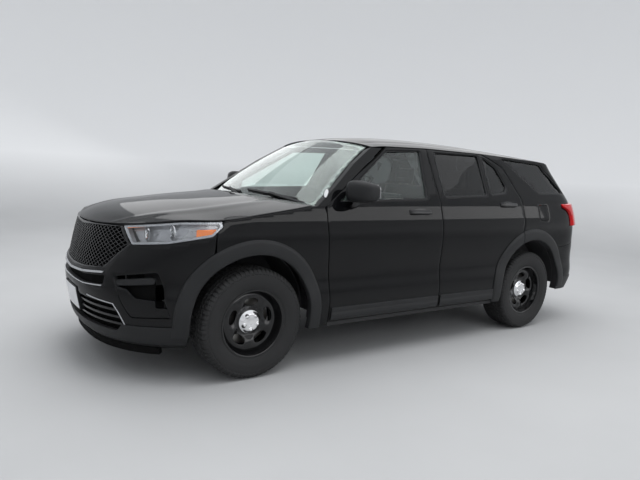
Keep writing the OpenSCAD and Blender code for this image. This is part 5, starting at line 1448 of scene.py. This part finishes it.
    def mirror(self, side: Side) -> None:
        """Door mirror: a rounded box of signed powers of sine and cosine on a swept foot, with its glass.

        Args:
            side: Side of the vehicle.
        """
        b = BODY
        z = float(b.hz(0.735))
        y = float(b.half_at(z)) + 60.0
        centre = np.array([float(b.bx(0.262)), y + 90.0, z])
        polar, round_ = np.meshgrid(np.linspace(-np.pi / 2, np.pi / 2, 33), angles(64))
        px = power(np.cos(polar), 0.55) * power(np.cos(round_), 0.65)
        py = power(np.cos(polar), 0.55) * power(np.sin(round_), 0.65)
        pz = power(np.sin(polar), 0.6)
        taper = 1 - 0.16 * py
        body = np.stack([px * taper, py, pz * taper], axis=-1) * self.mirror_half
        body[..., 0] -= 1.3 * np.minimum(body[..., 0] + self.mirror_flat, 0)
        body[..., 0] -= 22.0 + self.mirror_sweep * body[..., 1]
        points = (body + centre).reshape(-1, 3) * side.flip
        faces = outward(points, [grid_quads(64, 33, ring_rows=True)])
        make_piece(f"mirror_{side.word}", points, faces, Finishes.moulding, f"front_door_{side.word}",
                   f"front_trim_{side.word}")
        t = np.linspace(0, 1, 14)[:, None]
        foot_z = float(b.hz(0.689)) - 34.0
        foot = np.array([centre[0], float(b.half_at(foot_z)) + 14.0, foot_z])
        path = mix(foot, np.array([centre[0], y + 60.0, z - 50.0]), t) + np.array([0, 0, -14.0]) * (4 * t * (1 - t))
        shape = circle(20) * self.mirror_foot
        points, faces = swept(shape, path * side.flip, [1.0, 0, 0], [0, -0.5 * side.value, 0.85])
        make_piece(f"mirror_foot_{side.word}", points, faces, Finishes.mesh, f"front_door_{side.word}")
        u, v = np.meshgrid(np.linspace(-1, 1, 17), np.linspace(-1, 1, 13))
        bulge = 1 - 0.2 * np.abs(u) ** 4 * np.abs(v) ** 4
        across, high = self.mirror_glass[0] * u * bulge, self.mirror_glass[1] * v * bulge
        face = np.stack([-85.0 - self.mirror_sweep * across, across, high], axis=-1) + centre
        points, faces = shell(face * side.flip, (face + (3.0, 0, 0)) * side.flip)
        make_piece(f"mirror_glass_{side.word}", points, faces, Finishes.chrome, f"front_door_{side.word}")

    def build(self) -> None:
        """Makes every moulding."""
        b = BODY
        seam = float(b.bx(0.9516))
        for side in Side:
            w = side.word
            self.flare(f"flare_front_{w}", False, (-14.0, 196.0), side, "body", "arch_flares", 2.5)
            self.flare(f"flare_rear_{w}", True, (seam - 3.5, 184.0), side, "body", "arch_flares", 1.5)
            self.flare(f"flare_door_{w}", True, (-14.0, seam + 3.5), side, f"rear_door_{w}", f"rear_trim_{w}", 1.5)
            self.cladding(f"front_cladding_{w}", Lines.door_front, Lines.pillar, side, f"front_door_{w}",
                          f"front_trim_{w}")
            self.cladding(f"rear_cladding_{w}", Lines.pillar, Lines.door_rear, side, f"rear_door_{w}", f"rear_trim_{w}")
            self.handle(f"front_handle_{w}", (0.457, 0.649), side, f"front_door_{w}")
            self.handle(f"rear_handle_{w}", (0.846, 0.690), side, f"rear_door_{w}")
            self.mirror(side)


@dataclass
class Lamps:
    """Headlamps with reflector units behind a clear lens, and red tail lamps round the rear corners."""

    lens_t: float = 6.0
    unit_depth: float = 30.0
    bowl_d: float = 22.0
    dome_share: float = 0.62
    tail_reach: float = 24.0
    tail_depth: float = 38.0

    def unit(self, name: str, y: float, z: float, depth: float, radius: float, side: Side) -> None:
        """Reflector bowl turned about a forward axis, with a clear bulb lens in it.

        Args:
            name: Piece's name.
            y: Crosswise place.
            z: Height.
            depth: Depth of its rim under the skin.
            radius: Rim's radius.
            side: Side of the vehicle.
        """
        b = BODY
        rim = b.point(np.array([b.nose_at(np.array(y), np.array(z))]), np.array([z]), np.array([depth]))[0]
        r = np.linspace(1, 0, 12)
        outer = np.stack([radius * r, self.bowl_d * (r ** 2 - 1)], axis=1)
        bowl = np.concatenate([outer, (outer - (0, 3.0))[::-1]])
        self.axial(f"{name}_bowl", bowl, rim, side, Finishes.reflector)
        t = np.linspace(0, np.pi / 2, 9)
        wide = radius * self.dome_share
        dome = np.stack([wide * np.cos(t), radius * 0.4 * np.sin(t) - 10.0], axis=1)
        dome[-1, 0] = 0.0
        dome = np.concatenate([dome, [[0.0, -16.0], [wide, -16.0]]])
        self.axial(f"{name}_dome", dome, rim, side, Finishes.lens)
        ring = np.array([[radius, 2.0], [radius + 7.0, 2.0], [radius + 8.0, -6.0], [radius - 0.5, -6.0]])
        self.axial(f"{name}_ring", ring, rim, side, Finishes.bowl)

    def axial(self, name: str, profile: Array, rim: Array, side: Side, finish: Finish) -> None:
        """Closed profile of radius and forward reach turned about a line ahead through a point.

        Args:
            name: Piece's name.
            profile: Radius and reach, one row a point.
            rim: Point on the axis.
            side: Side of the vehicle.
            finish: Material.
        """
        points, quads = turned(profile, 40)
        points = (points + rim) * side.flip
        make_piece(name, points, outward(points, [quads]), finish, "body")

    def build(self) -> None:
        """Makes head and tail lamps."""
        b = BODY
        loop = rounded(Lines.lamp_loop(), 12.0)
        marker = placed(b.at_x, b.nx(Lines.marker[:, 0]), b.hz(Lines.marker[:, 1]))
        for side in Side:
            w = side.word
            patch(f"headlamp_lens_{w}", loop, 0.0, self.lens_t, side, Finishes.lens, node="headlamp_lenses")
            for name, y, z, r in (("inner", 0.735, 0.551, 36.0), ("outer", 0.845, 0.562, 40.0)):
                self.unit(f"headlamp_{name}_{w}", float(b.hy(y)), float(b.hz(z)), self.unit_depth, r, side)
            patch(f"headlamp_marker_{w}", rounded(marker, 6.0), 12.0, 26.0, side, Finishes.amber, spacing=8.0)
            top = b.nose_loop([[0.610, 0.5650], [0.720, 0.5760], [0.720, 0.5830], [0.608, 0.5720]], 4.0)
            patch(f"headlamp_strip_{w}", top, 12.0, 20.0, side, Finishes.amber)
            tail = rounded(Lines.tail_lamp_loop(), 8.0)
            patch(f"tail_lamp_{w}", tail, -self.tail_reach, self.tail_depth, side, Finishes.red, node="tail_lamps",
                  roll=13.0)
            patch(f"tail_lamp_back_{w}", tail, self.tail_depth + 0.4, self.tail_depth + 8.0, side, Finishes.seal)


@dataclass
class Nose:
    """Fine grille mesh with its border, the bright strips that paint edge highlights under the grille, along the slot
    and round the intake, and the blank plate, blades, slats and valance of the nose.
    """

    pitch: tuple[float, float] = (44.0, 30.0)
    bar: float = 5.0
    depth: tuple[float, float] = (9.0, 24.0)
    border: float = 20.0
    reach: float = 660.0

    def mesh(self) -> None:
        """Grille mesh: two sets of straight diagonals in front view, each a thin bar carried along the nose."""
        b = BODY
        flat = np.array(Lines.grille) * (b.half_width, b.height)
        hole = shrunk(flat, self.border)
        rise = self.pitch[1] / self.pitch[0]
        t = np.linspace(-self.reach, self.reach, 331)
        corner = box((-0.5, 0.0), (0.5, 1.0))
        parts = []
        for sign in (1.0, -1.0):
            for offset in np.arange(-20, 21) * self.pitch[1]:
                line = np.stack([t, flat[:, 1].mean() + offset + sign * rise * t], axis=1)
                kept = line[within(line, hole)]
                if len(kept) < 8:
                    continue
                n = min(len(kept), 24)
                path = kept[np.linspace(0, len(kept) - 1, n).astype(int)]
                y = np.repeat(path[:, 0], 4)
                z = np.repeat(path[:, 1], 4) + np.tile(corner[:, 0], n) * self.bar
                d = mix(*self.depth, np.tile(corner[:, 1], n))
                parts.append(capped(b.point(b.nose_at(y, z), z, d).reshape(n, 4, 3)))
        make_piece("grille_mesh", *joined(parts), Finishes.mesh, "body", "grille")
        inner = (hole / (b.half_width, b.height)).tolist()
        patch("grille_border", b.nose_loop(Lines.grille, 8.0), 5.0, 30.0, Side.LEFT, Finishes.mesh, node="grille",
              holes=[b.nose_loop(inner, 8.0)], roll=3.0)

    @staticmethod
    def patches(rows: Sequence[tuple], side: Side, ending: str = "") -> None:
        """Patches on the nose.

        Args:
            rows: Name, outline in shares, corner, depth of face and back, finish and roll of each.
            side: Side of the vehicle.
            ending: Ending of the names.
        """
        for name, shares, corner, top, back, finish, roll in rows:
            patch(f"{name}{ending}", BODY.nose_loop(shares, corner), top, back, side, finish, roll=roll)

    def build(self) -> None:
        """Makes every piece of the nose."""
        b = BODY
        self.mesh()
        # Painted highlight: the strip under the grille and the strip along the slot's lower edge are bright metal lines
        # that stand in for the light edge highlights of the ledges there.
        low = [[0.0, 0.372], [0.27, 0.381], [0.505, 0.396], [0.516, 0.404], [0.27, 0.389], [0.0, 0.380]]
        whole = low + [[-y, z] for y, z in low[4:0:-1]]
        edge = [[-0.51, 0.3480], [-0.3, 0.3380], [0.3, 0.3380], [0.51, 0.3480], [0.512, 0.3525], [0.3, 0.3425],
                [-0.3, 0.3425], [-0.512, 0.3525]]
        self.patches([
            ("nose_highlight_strip", whole, 3.0, -6.0, 2.0, Finishes.satin_metal, 2.0),
            ("slot_highlight_strip", edge, 2.0, -3.0, 2.0, Finishes.satin_metal, 1.2),
            ("plate_front", box((-0.155, 0.219), (0.155, 0.305)), 10.0, -10.0, -7.5, Finishes.plate, 0.6),
            ("plate_back", box((-0.165, 0.214), (0.165, 0.310)), 10.0, -7.4, 24.0, Finishes.moulding, 2.0)],
            Side.LEFT)
        half = [[0.60, 0.190], [0.645, 0.217], [0.93, 0.223], [0.945, 0.150]]
        valance = half + [[-y, z] for y, z in half[::-1]]
        patch("nose_valance", b.nose_loop(valance, 8.0), -8.0, -0.4, Side.LEFT, Finishes.moulding, roll=4.0,
              holes=[b.arch(False), mirrored_nose(b.arch(False))], spacing=22.0)
        slats = [[[-0.64, z], [0.64, z], [0.635, z + 0.010], [-0.635, z + 0.010]] for z in (0.210, 0.236, 0.262)]
        self.patches([(f"intake_slat_{k}", slat, 4.0, 10.0, 34.0, Finishes.mesh, 3.0) for k, slat in enumerate(slats)],
                     Side.LEFT)
        # Painted highlight: a thin bright metal line round each side of the intake that stands in for its edge
        # highlight.
        intake_highlight_outline = [[0.675, 0.187], [0.630, 0.262], [0.600, 0.289], [0.34, 0.297], [0.34, 0.301], [0.606, 0.293],
                      [0.637, 0.264], [0.682, 0.187]]
        blade = [[0.600, 0.346], [0.672, 0.283], [0.7066, 0.250], [0.878, 0.258], [0.868, 0.292], [0.828, 0.292],
                 [0.826, 0.318], [0.74, 0.322], [0.688, 0.352], [0.633, 0.358]]
        bar = [[0.598, 0.356], [0.606, 0.379], [0.800, 0.399], [0.812, 0.388], [0.806, 0.374]]
        for side in Side:
            self.patches([
                ("intake_highlight_line", intake_highlight_outline, 2.0, -3.0, 1.0, Finishes.satin_metal, 1.2),
                ("pocket_blade", blade, 8.0, 3.0, 26.0, Finishes.paint, 4.0),
                ("pocket_bar", bar, 8.0, 8.0, 30.0, Finishes.moulding, 5.0)], side, f"_{side.word}")


@dataclass
class Seats:
    """Padded seats: crowned cushions with sewn seams on plain bases, in place of the plain solids."""

    wide: float = 470.0
    front_y: float = 431.0
    front_z: float = 330.4
    bench_z: float = 575.3
    post_r: float = 7.0
    seam: float = 9.0
    edge_t: float = 3.0

    def pad(self, name: str, centre: Sequence[float], half: Sequence[float], lean: float, bolster: float) -> None:
        """Cushion: upper and lower grids whose height falls to the rim by powers, crowned, with seams pressed in.

        Args:
            name: Piece's name.
            centre: Middle of the cushion.
            half: Half width, half length and half thickness.
            lean: Angle of its length from straight ahead, in degrees, turned upwards and back.
            bolster: Height of the raised sides.
        """
        t = np.sin(np.linspace(-1, 1, 61) * np.pi / 2)
        u, v = np.meshgrid(t, t, indexing="ij")
        edge = ((1 - np.abs(u) ** 7) * (1 - np.abs(v) ** 7)) ** 0.45
        crown = 0.80 + 0.20 * (1 - u ** 2) * (1 - v ** 2)
        seams = self.seam * (np.exp(-((np.abs(u) - 0.56) / 0.022) ** 2)
                             + np.exp(-((np.abs(v - 0.15) - 0.42) / 0.022) ** 2) * (np.abs(u) < 0.56))
        raised = bolster * np.exp(-((np.abs(u) - 0.80) / 0.16) ** 2)
        thick = half[2] - self.edge_t
        top = self.edge_t + edge * (thick * crown + raised - seams)
        low = -self.edge_t - edge * thick * 0.9
        along = np.array([math.cos(math.radians(lean)), 0.0, math.sin(math.radians(lean))])
        normal = np.array([-along[2], 0.0, along[0]]) * (1 if lean < 45 else -1)
        base = np.array(centre) + u[..., None] * half[0] * np.array([0.0, 1.0, 0.0]) + v[..., None] * half[1] * along
        points, faces = shell(base + top[..., None] * normal, base + low[..., None] * normal)
        make_piece(name, points, faces, Finishes.cloth, "body", "seats")

    def seat(self, name: str, x: float, y: float, z: float, half: float, heads: Sequence[float]) -> None:
        """Cushion, backrest, headrests with posts, and base of one seat.

        Args:
            name: Seat's name.
            x: Place of its back foot.
            y: Crosswise middle.
            z: Height of its foot.
            half: Half width.
            heads: Crosswise places of the headrests.
        """
        self.pad(f"{name}_cushion", (x + 305.0, y, z + 160.0), (half - 4.0, 212.0, 68.0), 4.0, 16.0)
        self.pad(f"{name}_back", (x + 104.0, y, z + 452.0), (half - 6.0, 312.0, 52.0), 100.5, 18.0)
        box = np.array([[x + 130.0, z], [x + 600.0, z], [x + 600.0, z + 105.0], [x + 110.0, z + 105.0]])
        path = np.stack([np.zeros(8), y + np.linspace(-1, 1, 8) * (half - 30.0), np.zeros(8)], axis=1)
        points, faces = swept(rounded(box, 24.0), path, [1.0, 0, 0], [0, 0, 1.0])
        make_piece(f"{name}_base", points, faces, Finishes.cabin, "body", "seats")
        ring = circle(16) * self.post_r
        for k, head in enumerate(heads):
            self.pad(f"{name}_head_{k}", (x + 44.0, head, z + 852.0), (128.0, 86.0, 40.0), 96.0, 0.0)
            rise = np.linspace(0, 1, 6)[:, None] * (0.0, 0.0, 80.0)
            posts = [swept(ring, np.array([x + 46.0, head + off, z + 720.0]) + rise, [1.0, 0, 0], [0, 1.0, 0])
                     for off in (-60.0, 60.0)]
            make_piece(f"{name}_posts_{k}", *joined(posts), Finishes.steel, "body")

    def build(self) -> None:
        """Makes both front seats and the split rear bench."""
        front, rear = float(BODY.bx(0.555)), float(BODY.bx(0.860))
        for side in Side:
            y = side.value * self.front_y
            self.seat(f"seat_front_{side.word}", front, y, self.front_z, self.wide / 2, [y])
        self.seat("bench_wide", rear, -266.0, self.bench_z, 398.0, [-374.0])
        self.seat("bench_narrow", rear, 400.0, self.bench_z, 264.0, [374.0])


@dataclass
class Wheels:
    """Tyres with blocked tread, black steel rims with five vents, and bright centre caps."""

    tyre_w: float = 255.0
    rim_r: float = 228.6
    rim_w: float = 216.0
    lugs: int = 72
    face: float = 36.0
    tread_d: float = 8.0
    shoulder: float = 34.0
    cap_r: float = 86.0
    cap_h: float = 33.0
    lug_ring: float = 53.0
    lug_r: float = 13.0
    lug_h: float = 9.0

    def tyre(self, name: str, centre: Array, side: Side, body: str, node: str) -> None:
        """Tyre: closed profile turned about the axle; grooves and slots lower the radius over the tread.

        Args:
            name: Piece's name.
            centre: Wheel's middle.
            side: Side of the vehicle.
            body: Body that it rides on.
            node: Frame node that it stands for.
        """
        r0, h = BODY.tyre_r, self.tyre_w / 2
        bead, mid = self.rim_r + 0.3, mix(self.rim_r, BODY.tyre_r, 0.62)
        t = np.linspace(0, np.pi / 2, 8)
        half = np.concatenate([
            [[bead, self.rim_w * 0.47], [bead + 8, self.rim_w * 0.49], [bead + 16, self.rim_w * 0.50],
             [bead + 19, self.rim_w * 0.515], [bead + 30, h * 0.90], [mid - 44, h * 0.955], [mid - 26, h * 0.985],
             [mid - 22, h * 0.985], [mid - 8, h], [mid + 4, h], [mid + 14, h * 0.992], [mid + 17, h * 0.975]],
            self.shoulder * (np.stack([np.sin(t), np.cos(t)], axis=1) - 1) + (r0, h)])
        tread = np.linspace(half[-1, 1], 0, 20)[1:-1]
        side_half = np.concatenate([half, np.stack([np.full(len(tread), r0), tread], axis=1)])
        profile = np.concatenate([side_half, (side_half * (1, -1))[::-1]])
        steps = self.lugs * 8
        phase = (np.arange(steps) % 8)[:, None]
        r, y = (np.broadcast_to(column, (steps, len(profile))) for column in profile.T)
        turn = np.arange(steps)[:, None] * 2 * np.pi / steps
        wander = 4.0 * np.where(phase < 4, 1, -1)
        line = np.abs(np.abs(y) - 34.0 - wander * 0.5) < 4.5
        outer = np.abs(np.abs(y) - 72.0) < 5.0
        shoulder = (np.abs(y) > 76.0) & (r > 338.0) & (phase < 2)
        inner = (np.abs(y) < 30.0) & (((phase + np.round(np.abs(y) / 9.0)) % 8) < 1)
        between = (np.abs(y) > 38.0) & (np.abs(y) < 68.0) & (((phase + 3 + np.round(np.abs(y) / 12.0)) % 8) < 1.5)
        onto = r > r0 - 22.0
        drop = self.tread_d * (line | outer) * onto + 6.5 * shoulder + 5.0 * (inner | between) * onto
        crown = 3.0 * (np.clip(np.abs(y) / 100.0, 0, 1) ** 2) * onto
        rr = r - np.minimum(drop, self.tread_d) - crown
        points = np.stack([rr * np.cos(turn), side.value * y, rr * np.sin(turn)], axis=-1).reshape(-1, 3) + centre
        faces = outward(points, [grid_quads(steps, len(profile), True, True)])
        make_piece(name, points, faces, Finishes.rubber, body, node, sharp=30.0)

    @staticmethod
    def spun(name: str, profile: Array, centre: Array, side: Side, finish: Finish, body: str,
             node: str | None = None) -> None:
        """Closed profile of radius and outward reach turned about the axle.

        Args:
            name: Piece's name.
            profile: Radius and reach, one row a point.
            centre: Wheel's middle.
            side: Side of the vehicle.
            finish: Material.
            body: Body that it rides on.
            node: Frame node that it stands for.
        """
        points, quads = turned(profile, 96)
        points = points[:, [1, 0, 2]] * side.flip + centre
        make_piece(name, points, outward(points, [quads]), finish, body, node)

    def rim(self, name: str, centre: Array, side: Side, body: str, node: str) -> None:
        """Steel rim: a turned barrel, and a dished disc with five vents whose edges and spokes are pressed up.

        Args:
            name: Piece's name.
            centre: Wheel's middle.
            side: Side of the vehicle.
            body: Body that it rides on.
            node: Frame node that it stands for.
        """
        h, r = self.rim_w / 2, self.rim_r
        barrel = np.array([
            [r + 8, h], [r + 8.5, h - 5], [r + 0.1, h - 12], [r, h - 40], [r - 12, h - 60], [r - 14, -20], [r - 2, -50],
            [r, -h + 12], [r + 8, -h], [r - 9, -h], [r - 10, -h + 14], [r - 14, -48], [r - 24, -22], [r - 22, h - 62],
            [r - 12, h - 40], [r - 9, h - 16], [r - 5, h - 4], [r, h - 1]])
        self.spun(name, barrel, centre, side, Finishes.rim, body, node)
        ring = circle(120)
        far, turn = np.array([[116, -0.23], [116, 0.23], [137, 0.37], [160, 0.33], [169, 0.12], [169, -0.12],
                              [160, -0.33], [137, -0.37]]).T
        vents = [rounded(np.stack([far * np.cos(mid + turn), far * np.sin(mid + turn)], axis=1), 16.0)
                 for mid in np.pi / 2 + angles(5)]
        trim = Trim(ring * (r - 12), [ring * 31.0, *vents], spacing=9.0)
        dish = np.array([[0, 36], [90, 36], [100, 40], [112, 48], [150, 60], [182, 64], [198, 60], [230, 40]], float)

        def bend(p: Array, d: Array) -> Array:
            """Disc point: dished by radius, raised along five spokes between the vents.

            Args:
                p: Flat places in the wheel's plane.
                d: Depth under the outer face.
            Returns:
                One row a point.
            """
            rad, ang = np.linalg.norm(p, axis=1), np.arctan2(p[:, 1], p[:, 0])
            spoke = (0.5 - 0.5 * np.cos(5 * (ang - np.pi / 2))) ** 3
            band = np.exp(-((rad - 135.0) / 36.0) ** 2)
            reach = lookup(dish, rad) + 11.0 * spoke * band - 4.0 * (1 - spoke) * band - d
            return np.stack([p[:, 0], side.value * reach, p[:, 1]], axis=1) + centre
        points, faces, _ = trim.solid(bend, 0.0, 8.0, 2.5)
        make_piece(f"{name}_disc", points, faces, Finishes.rim, body, sharp=60.0)
        brake = np.array([[30.5, -43], [r * 0.74, -43], [r * 0.74, -34], [r * 0.70, -33], [r * 0.70, -26],
                          [r * 0.74, -25], [r * 0.74, -16], [30.5, -16]])
        self.spun(f"{name}_brake", brake, centre, side, Finishes.steel, body)

    def cap(self, name: str, centre: Array, side: Side, body: str, node: str) -> None:
        """Centre cap: a dome by radius with five round lumps and a raised middle.

        Args:
            name: Piece's name.
            centre: Wheel's middle.
            side: Side of the vehicle.
            body: Body that it rides on.
            node: Frame node that it stands for.
        """
        ang, rad = np.meshgrid(angles(120), np.linspace(0, 1, 40), indexing="ij")
        q = rad * self.cap_r
        fall = np.clip((rad - 0.62) / 0.38, 0, 1)
        dome = self.cap_h - 19.0 * fall ** 2 * (3 - 2 * fall) - 12.0 * np.clip((rad - 0.95) / 0.05, 0, 1) ** 2
        lumps = np.zeros_like(q)
        for mid in np.pi * 0.7 + angles(5):
            off = np.hypot(q * np.cos(ang) - self.lug_ring * np.cos(mid), q * np.sin(ang) - self.lug_ring * np.sin(mid))
            lumps += self.lug_h * np.exp(-(off / self.lug_r) ** 4)
        well = 4.0 * np.exp(-(q / 24.0) ** 6)
        reach = self.face + 0.6 + dome + lumps - well
        upper, lower = (np.stack([q * np.cos(ang), side.value * high, q * np.sin(ang)], axis=-1) + centre
                        for high in (reach, np.full(q.shape, self.face + 0.4)))
        make_piece(name, *shell(upper, lower, ring=True), Finishes.chrome, body, node)

    def build(self) -> None:
        """Makes the four wheels."""
        for axle, x in (("front", BODY.front_x), ("rear", BODY.rear_x)):
            for side in Side:
                w = f"{axle}_{side.word}"
                centre = np.array([x, side.value * BODY.wheel_y, BODY.tyre_r])
                self.tyre(f"tread_{w}", centre, side, f"wheel_{w}", f"tyre_{w}")
                self.rim(f"wheel_rim_{w}", centre, side, f"wheel_{w}", f"rim_{w}")
                self.cap(f"hub_cap_{w}", centre, side, f"wheel_{w}", f"cap_{w}")


@dataclass
class Carried:
    """Frame nodes that keep their solids and take a finish."""

    finishes: dict[str, Finish] = field(default_factory=lambda: {
        "underbody": Finishes.chassis, "body_frame": Finishes.paint, "cowl": Finishes.moulding,
        "lower_trim": Finishes.seal, "headlamp_housings": Finishes.bowl,
        "wheel_liners": Finishes.tank, "engine": Finishes.casting, "drive_line": Finishes.casting,
        "exhaust": Finishes.casting, "fuel_tank": Finishes.tank, "front_axle": Finishes.chassis,
        "rear_axle": Finishes.chassis, "dashboard": Finishes.cabin,
        "steering_wheel": Finishes.cabin, "knuckle_left": Finishes.casting, "knuckle_right": Finishes.casting,
    })

    def build(self) -> None:
        """Gives each kept node its finish."""
        for name, finish in self.finishes.items():
            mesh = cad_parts[name].data
            mesh.materials.clear()
            mesh.materials.append(finish.build())


# ---------------------------------------------------------------- studio


@dataclass
class Studio:
    """Pale floor and backdrop, soft lights, and the camera at the photograph's place."""

    target: tuple[float, float, float] = (0.371, 0.0, 0.794)
    distance: float = 5.168
    azimuth: float = 54.43
    elevation: float = 7.13
    roll: float = 3.37
    lens: float = 31.28
    curve: float = 9.0
    sink: float = 0.0005

    def camera(self) -> None:
        """Places the camera by azimuth, elevation and roll about the target."""
        a, e, r = (math.radians(v) for v in (self.azimuth, self.elevation, self.roll))
        back = Vector((math.cos(e) * math.cos(a), math.cos(e) * math.sin(a), math.sin(e)))
        right = (-back).cross(Vector((0, 0, 1))).normalized()
        up = right.cross(-back)
        side = right * math.cos(r) + up * math.sin(r)
        high = up * math.cos(r) - right * math.sin(r)
        data = bpy.data.cameras.new("camera")
        data.lens, data.sensor_width = self.lens, 36.0
        data.clip_end = 200.0
        camera = bpy.data.objects.new("camera", data)
        turn = Matrix((side, high, back)).transposed().to_4x4()
        camera.matrix_world = Matrix.Translation(Vector(self.target) + back * self.distance) @ turn
        bpy.context.scene.collection.objects.link(camera)
        bpy.context.scene.camera = camera

    def floor(self) -> None:
        """Wide floor that curves up into a high, paler backdrop all round, as one smooth sheet."""
        t, c = np.linspace(0, np.pi / 2, 24)[1:], self.curve
        r = np.concatenate([np.linspace(0.05, c, 24), c + c * np.sin(t), np.full(6, 2 * c)])
        z = np.concatenate([np.zeros(24), c - c * np.cos(t), np.linspace(9.5, 13.0, 6)]) - self.sink
        n, a = len(r), angles(96)[:, None]
        points = np.stack([r * np.cos(a), r * np.sin(a), z + 0 * a], axis=-1)
        mesh = bpy.data.meshes.new("floor")
        ring = np.arange(96) * n
        middle = np.stack([np.full(96, 96 * n), ring, np.roll(ring, -1)], axis=1)
        quads = grid_quads(96, n, ring_rows=True)[:, ::-1]
        places = np.concatenate([points.reshape(-1, 3), [[0.0, 0.0, -self.sink]]])
        mesh.from_pydata(places.tolist(), [], quads.tolist() + middle.tolist())
        mesh.polygons.foreach_set("use_smooth", np.ones(len(mesh.polygons), bool))
        finish = Finish("floor_pale", "paint", (0.40, 0.405, 0.41), 0.7, drift=0.03, drift_scale=0.8, relief=0.05,
                        specular=0.2)
        material = finish.build()
        graph, nodes = Graph(material.node_tree), material.node_tree.nodes
        split = graph.add("SeparateXYZ", {0: nodes["Texture Coordinate"].outputs["Object"]})
        rise = graph.add("MapRange", {"Value": split.outputs["Z"], "From Max": 1.5})
        blend = graph.add("MixRGB", {"Fac": rise.outputs["Result"], "Color1": nodes["Color Ramp"].outputs["Color"],
                                     "Color2": (0.80, 0.805, 0.81, 1.0)})
        graph.fill(nodes["Principled BSDF"], {"Base Color": blend.outputs["Color"]})
        mesh.materials.append(material)
        floor = bpy.data.objects.new("floor", mesh)
        bpy.context.scene.collection.objects.link(floor)

    def light(self, name: str, place: tuple[float, float, float], aim: tuple[float, float, float],
              size: tuple[float, float], power: float) -> None:
        """Soft rectangular light aimed at a point.

        Args:
            name: Light's name.
            place: Its place.
            aim: Point that it faces.
            size: Width and height.
            power: Power in watts.
        """
        data = bpy.data.lights.new(name, "AREA")
        data.shape = "RECTANGLE"
        data.size, data.size_y = size
        data.energy = power
        lamp = bpy.data.objects.new(name, data)
        lamp.visible_camera = False
        lamp.visible_glossy = name != "overhead"
        lamp.location = place
        lamp.rotation_euler = (Vector(aim) - Vector(place)).to_track_quat("-Z", "Y").to_euler()
        bpy.context.scene.collection.objects.link(lamp)

    def build(self) -> None:
        """Makes the studio and sets plain colour handling."""
        self.camera()
        self.floor()
        self.light("overhead", (0.5, 0.0, 6.5), (0.0, 0.0, 0.0), (9.0, 5.0), 480.0)
        self.light("side_soft", (-4.2, 8.7, 4.6), (-2.6, 0.0, 0.9), (17.0, 2.0), 170.0)
        self.light("back_soft", (-6.5, -7.5, 5.6), (0.6, 0.0, 0.9), (17.0, 5.0), 230.0)
        scene = bpy.context.scene
        world = bpy.data.worlds.new("studio")
        world.use_nodes = True
        background = world.node_tree.nodes["Background"]
        background.inputs["Color"].default_value = (0.90, 0.92, 0.95, 1.0)
        background.inputs["Strength"].default_value = 1.0
        scene.world = world
        scene.view_settings.view_transform = "Standard"


def main() -> None:
    """Builds the studio and every sub-assembly in order and notes the sizes."""
    logging.basicConfig(level=logging.INFO)
    for part in (Studio(), Carried(), Panels(), Glazing(), GateTrim(), Mouldings(), Lamps(), Nose(),
                 Seats(), Wheels()):
        part.build()
        LOG.info("built %s", type(part).__name__)


if __name__ == "__main__":
    main()
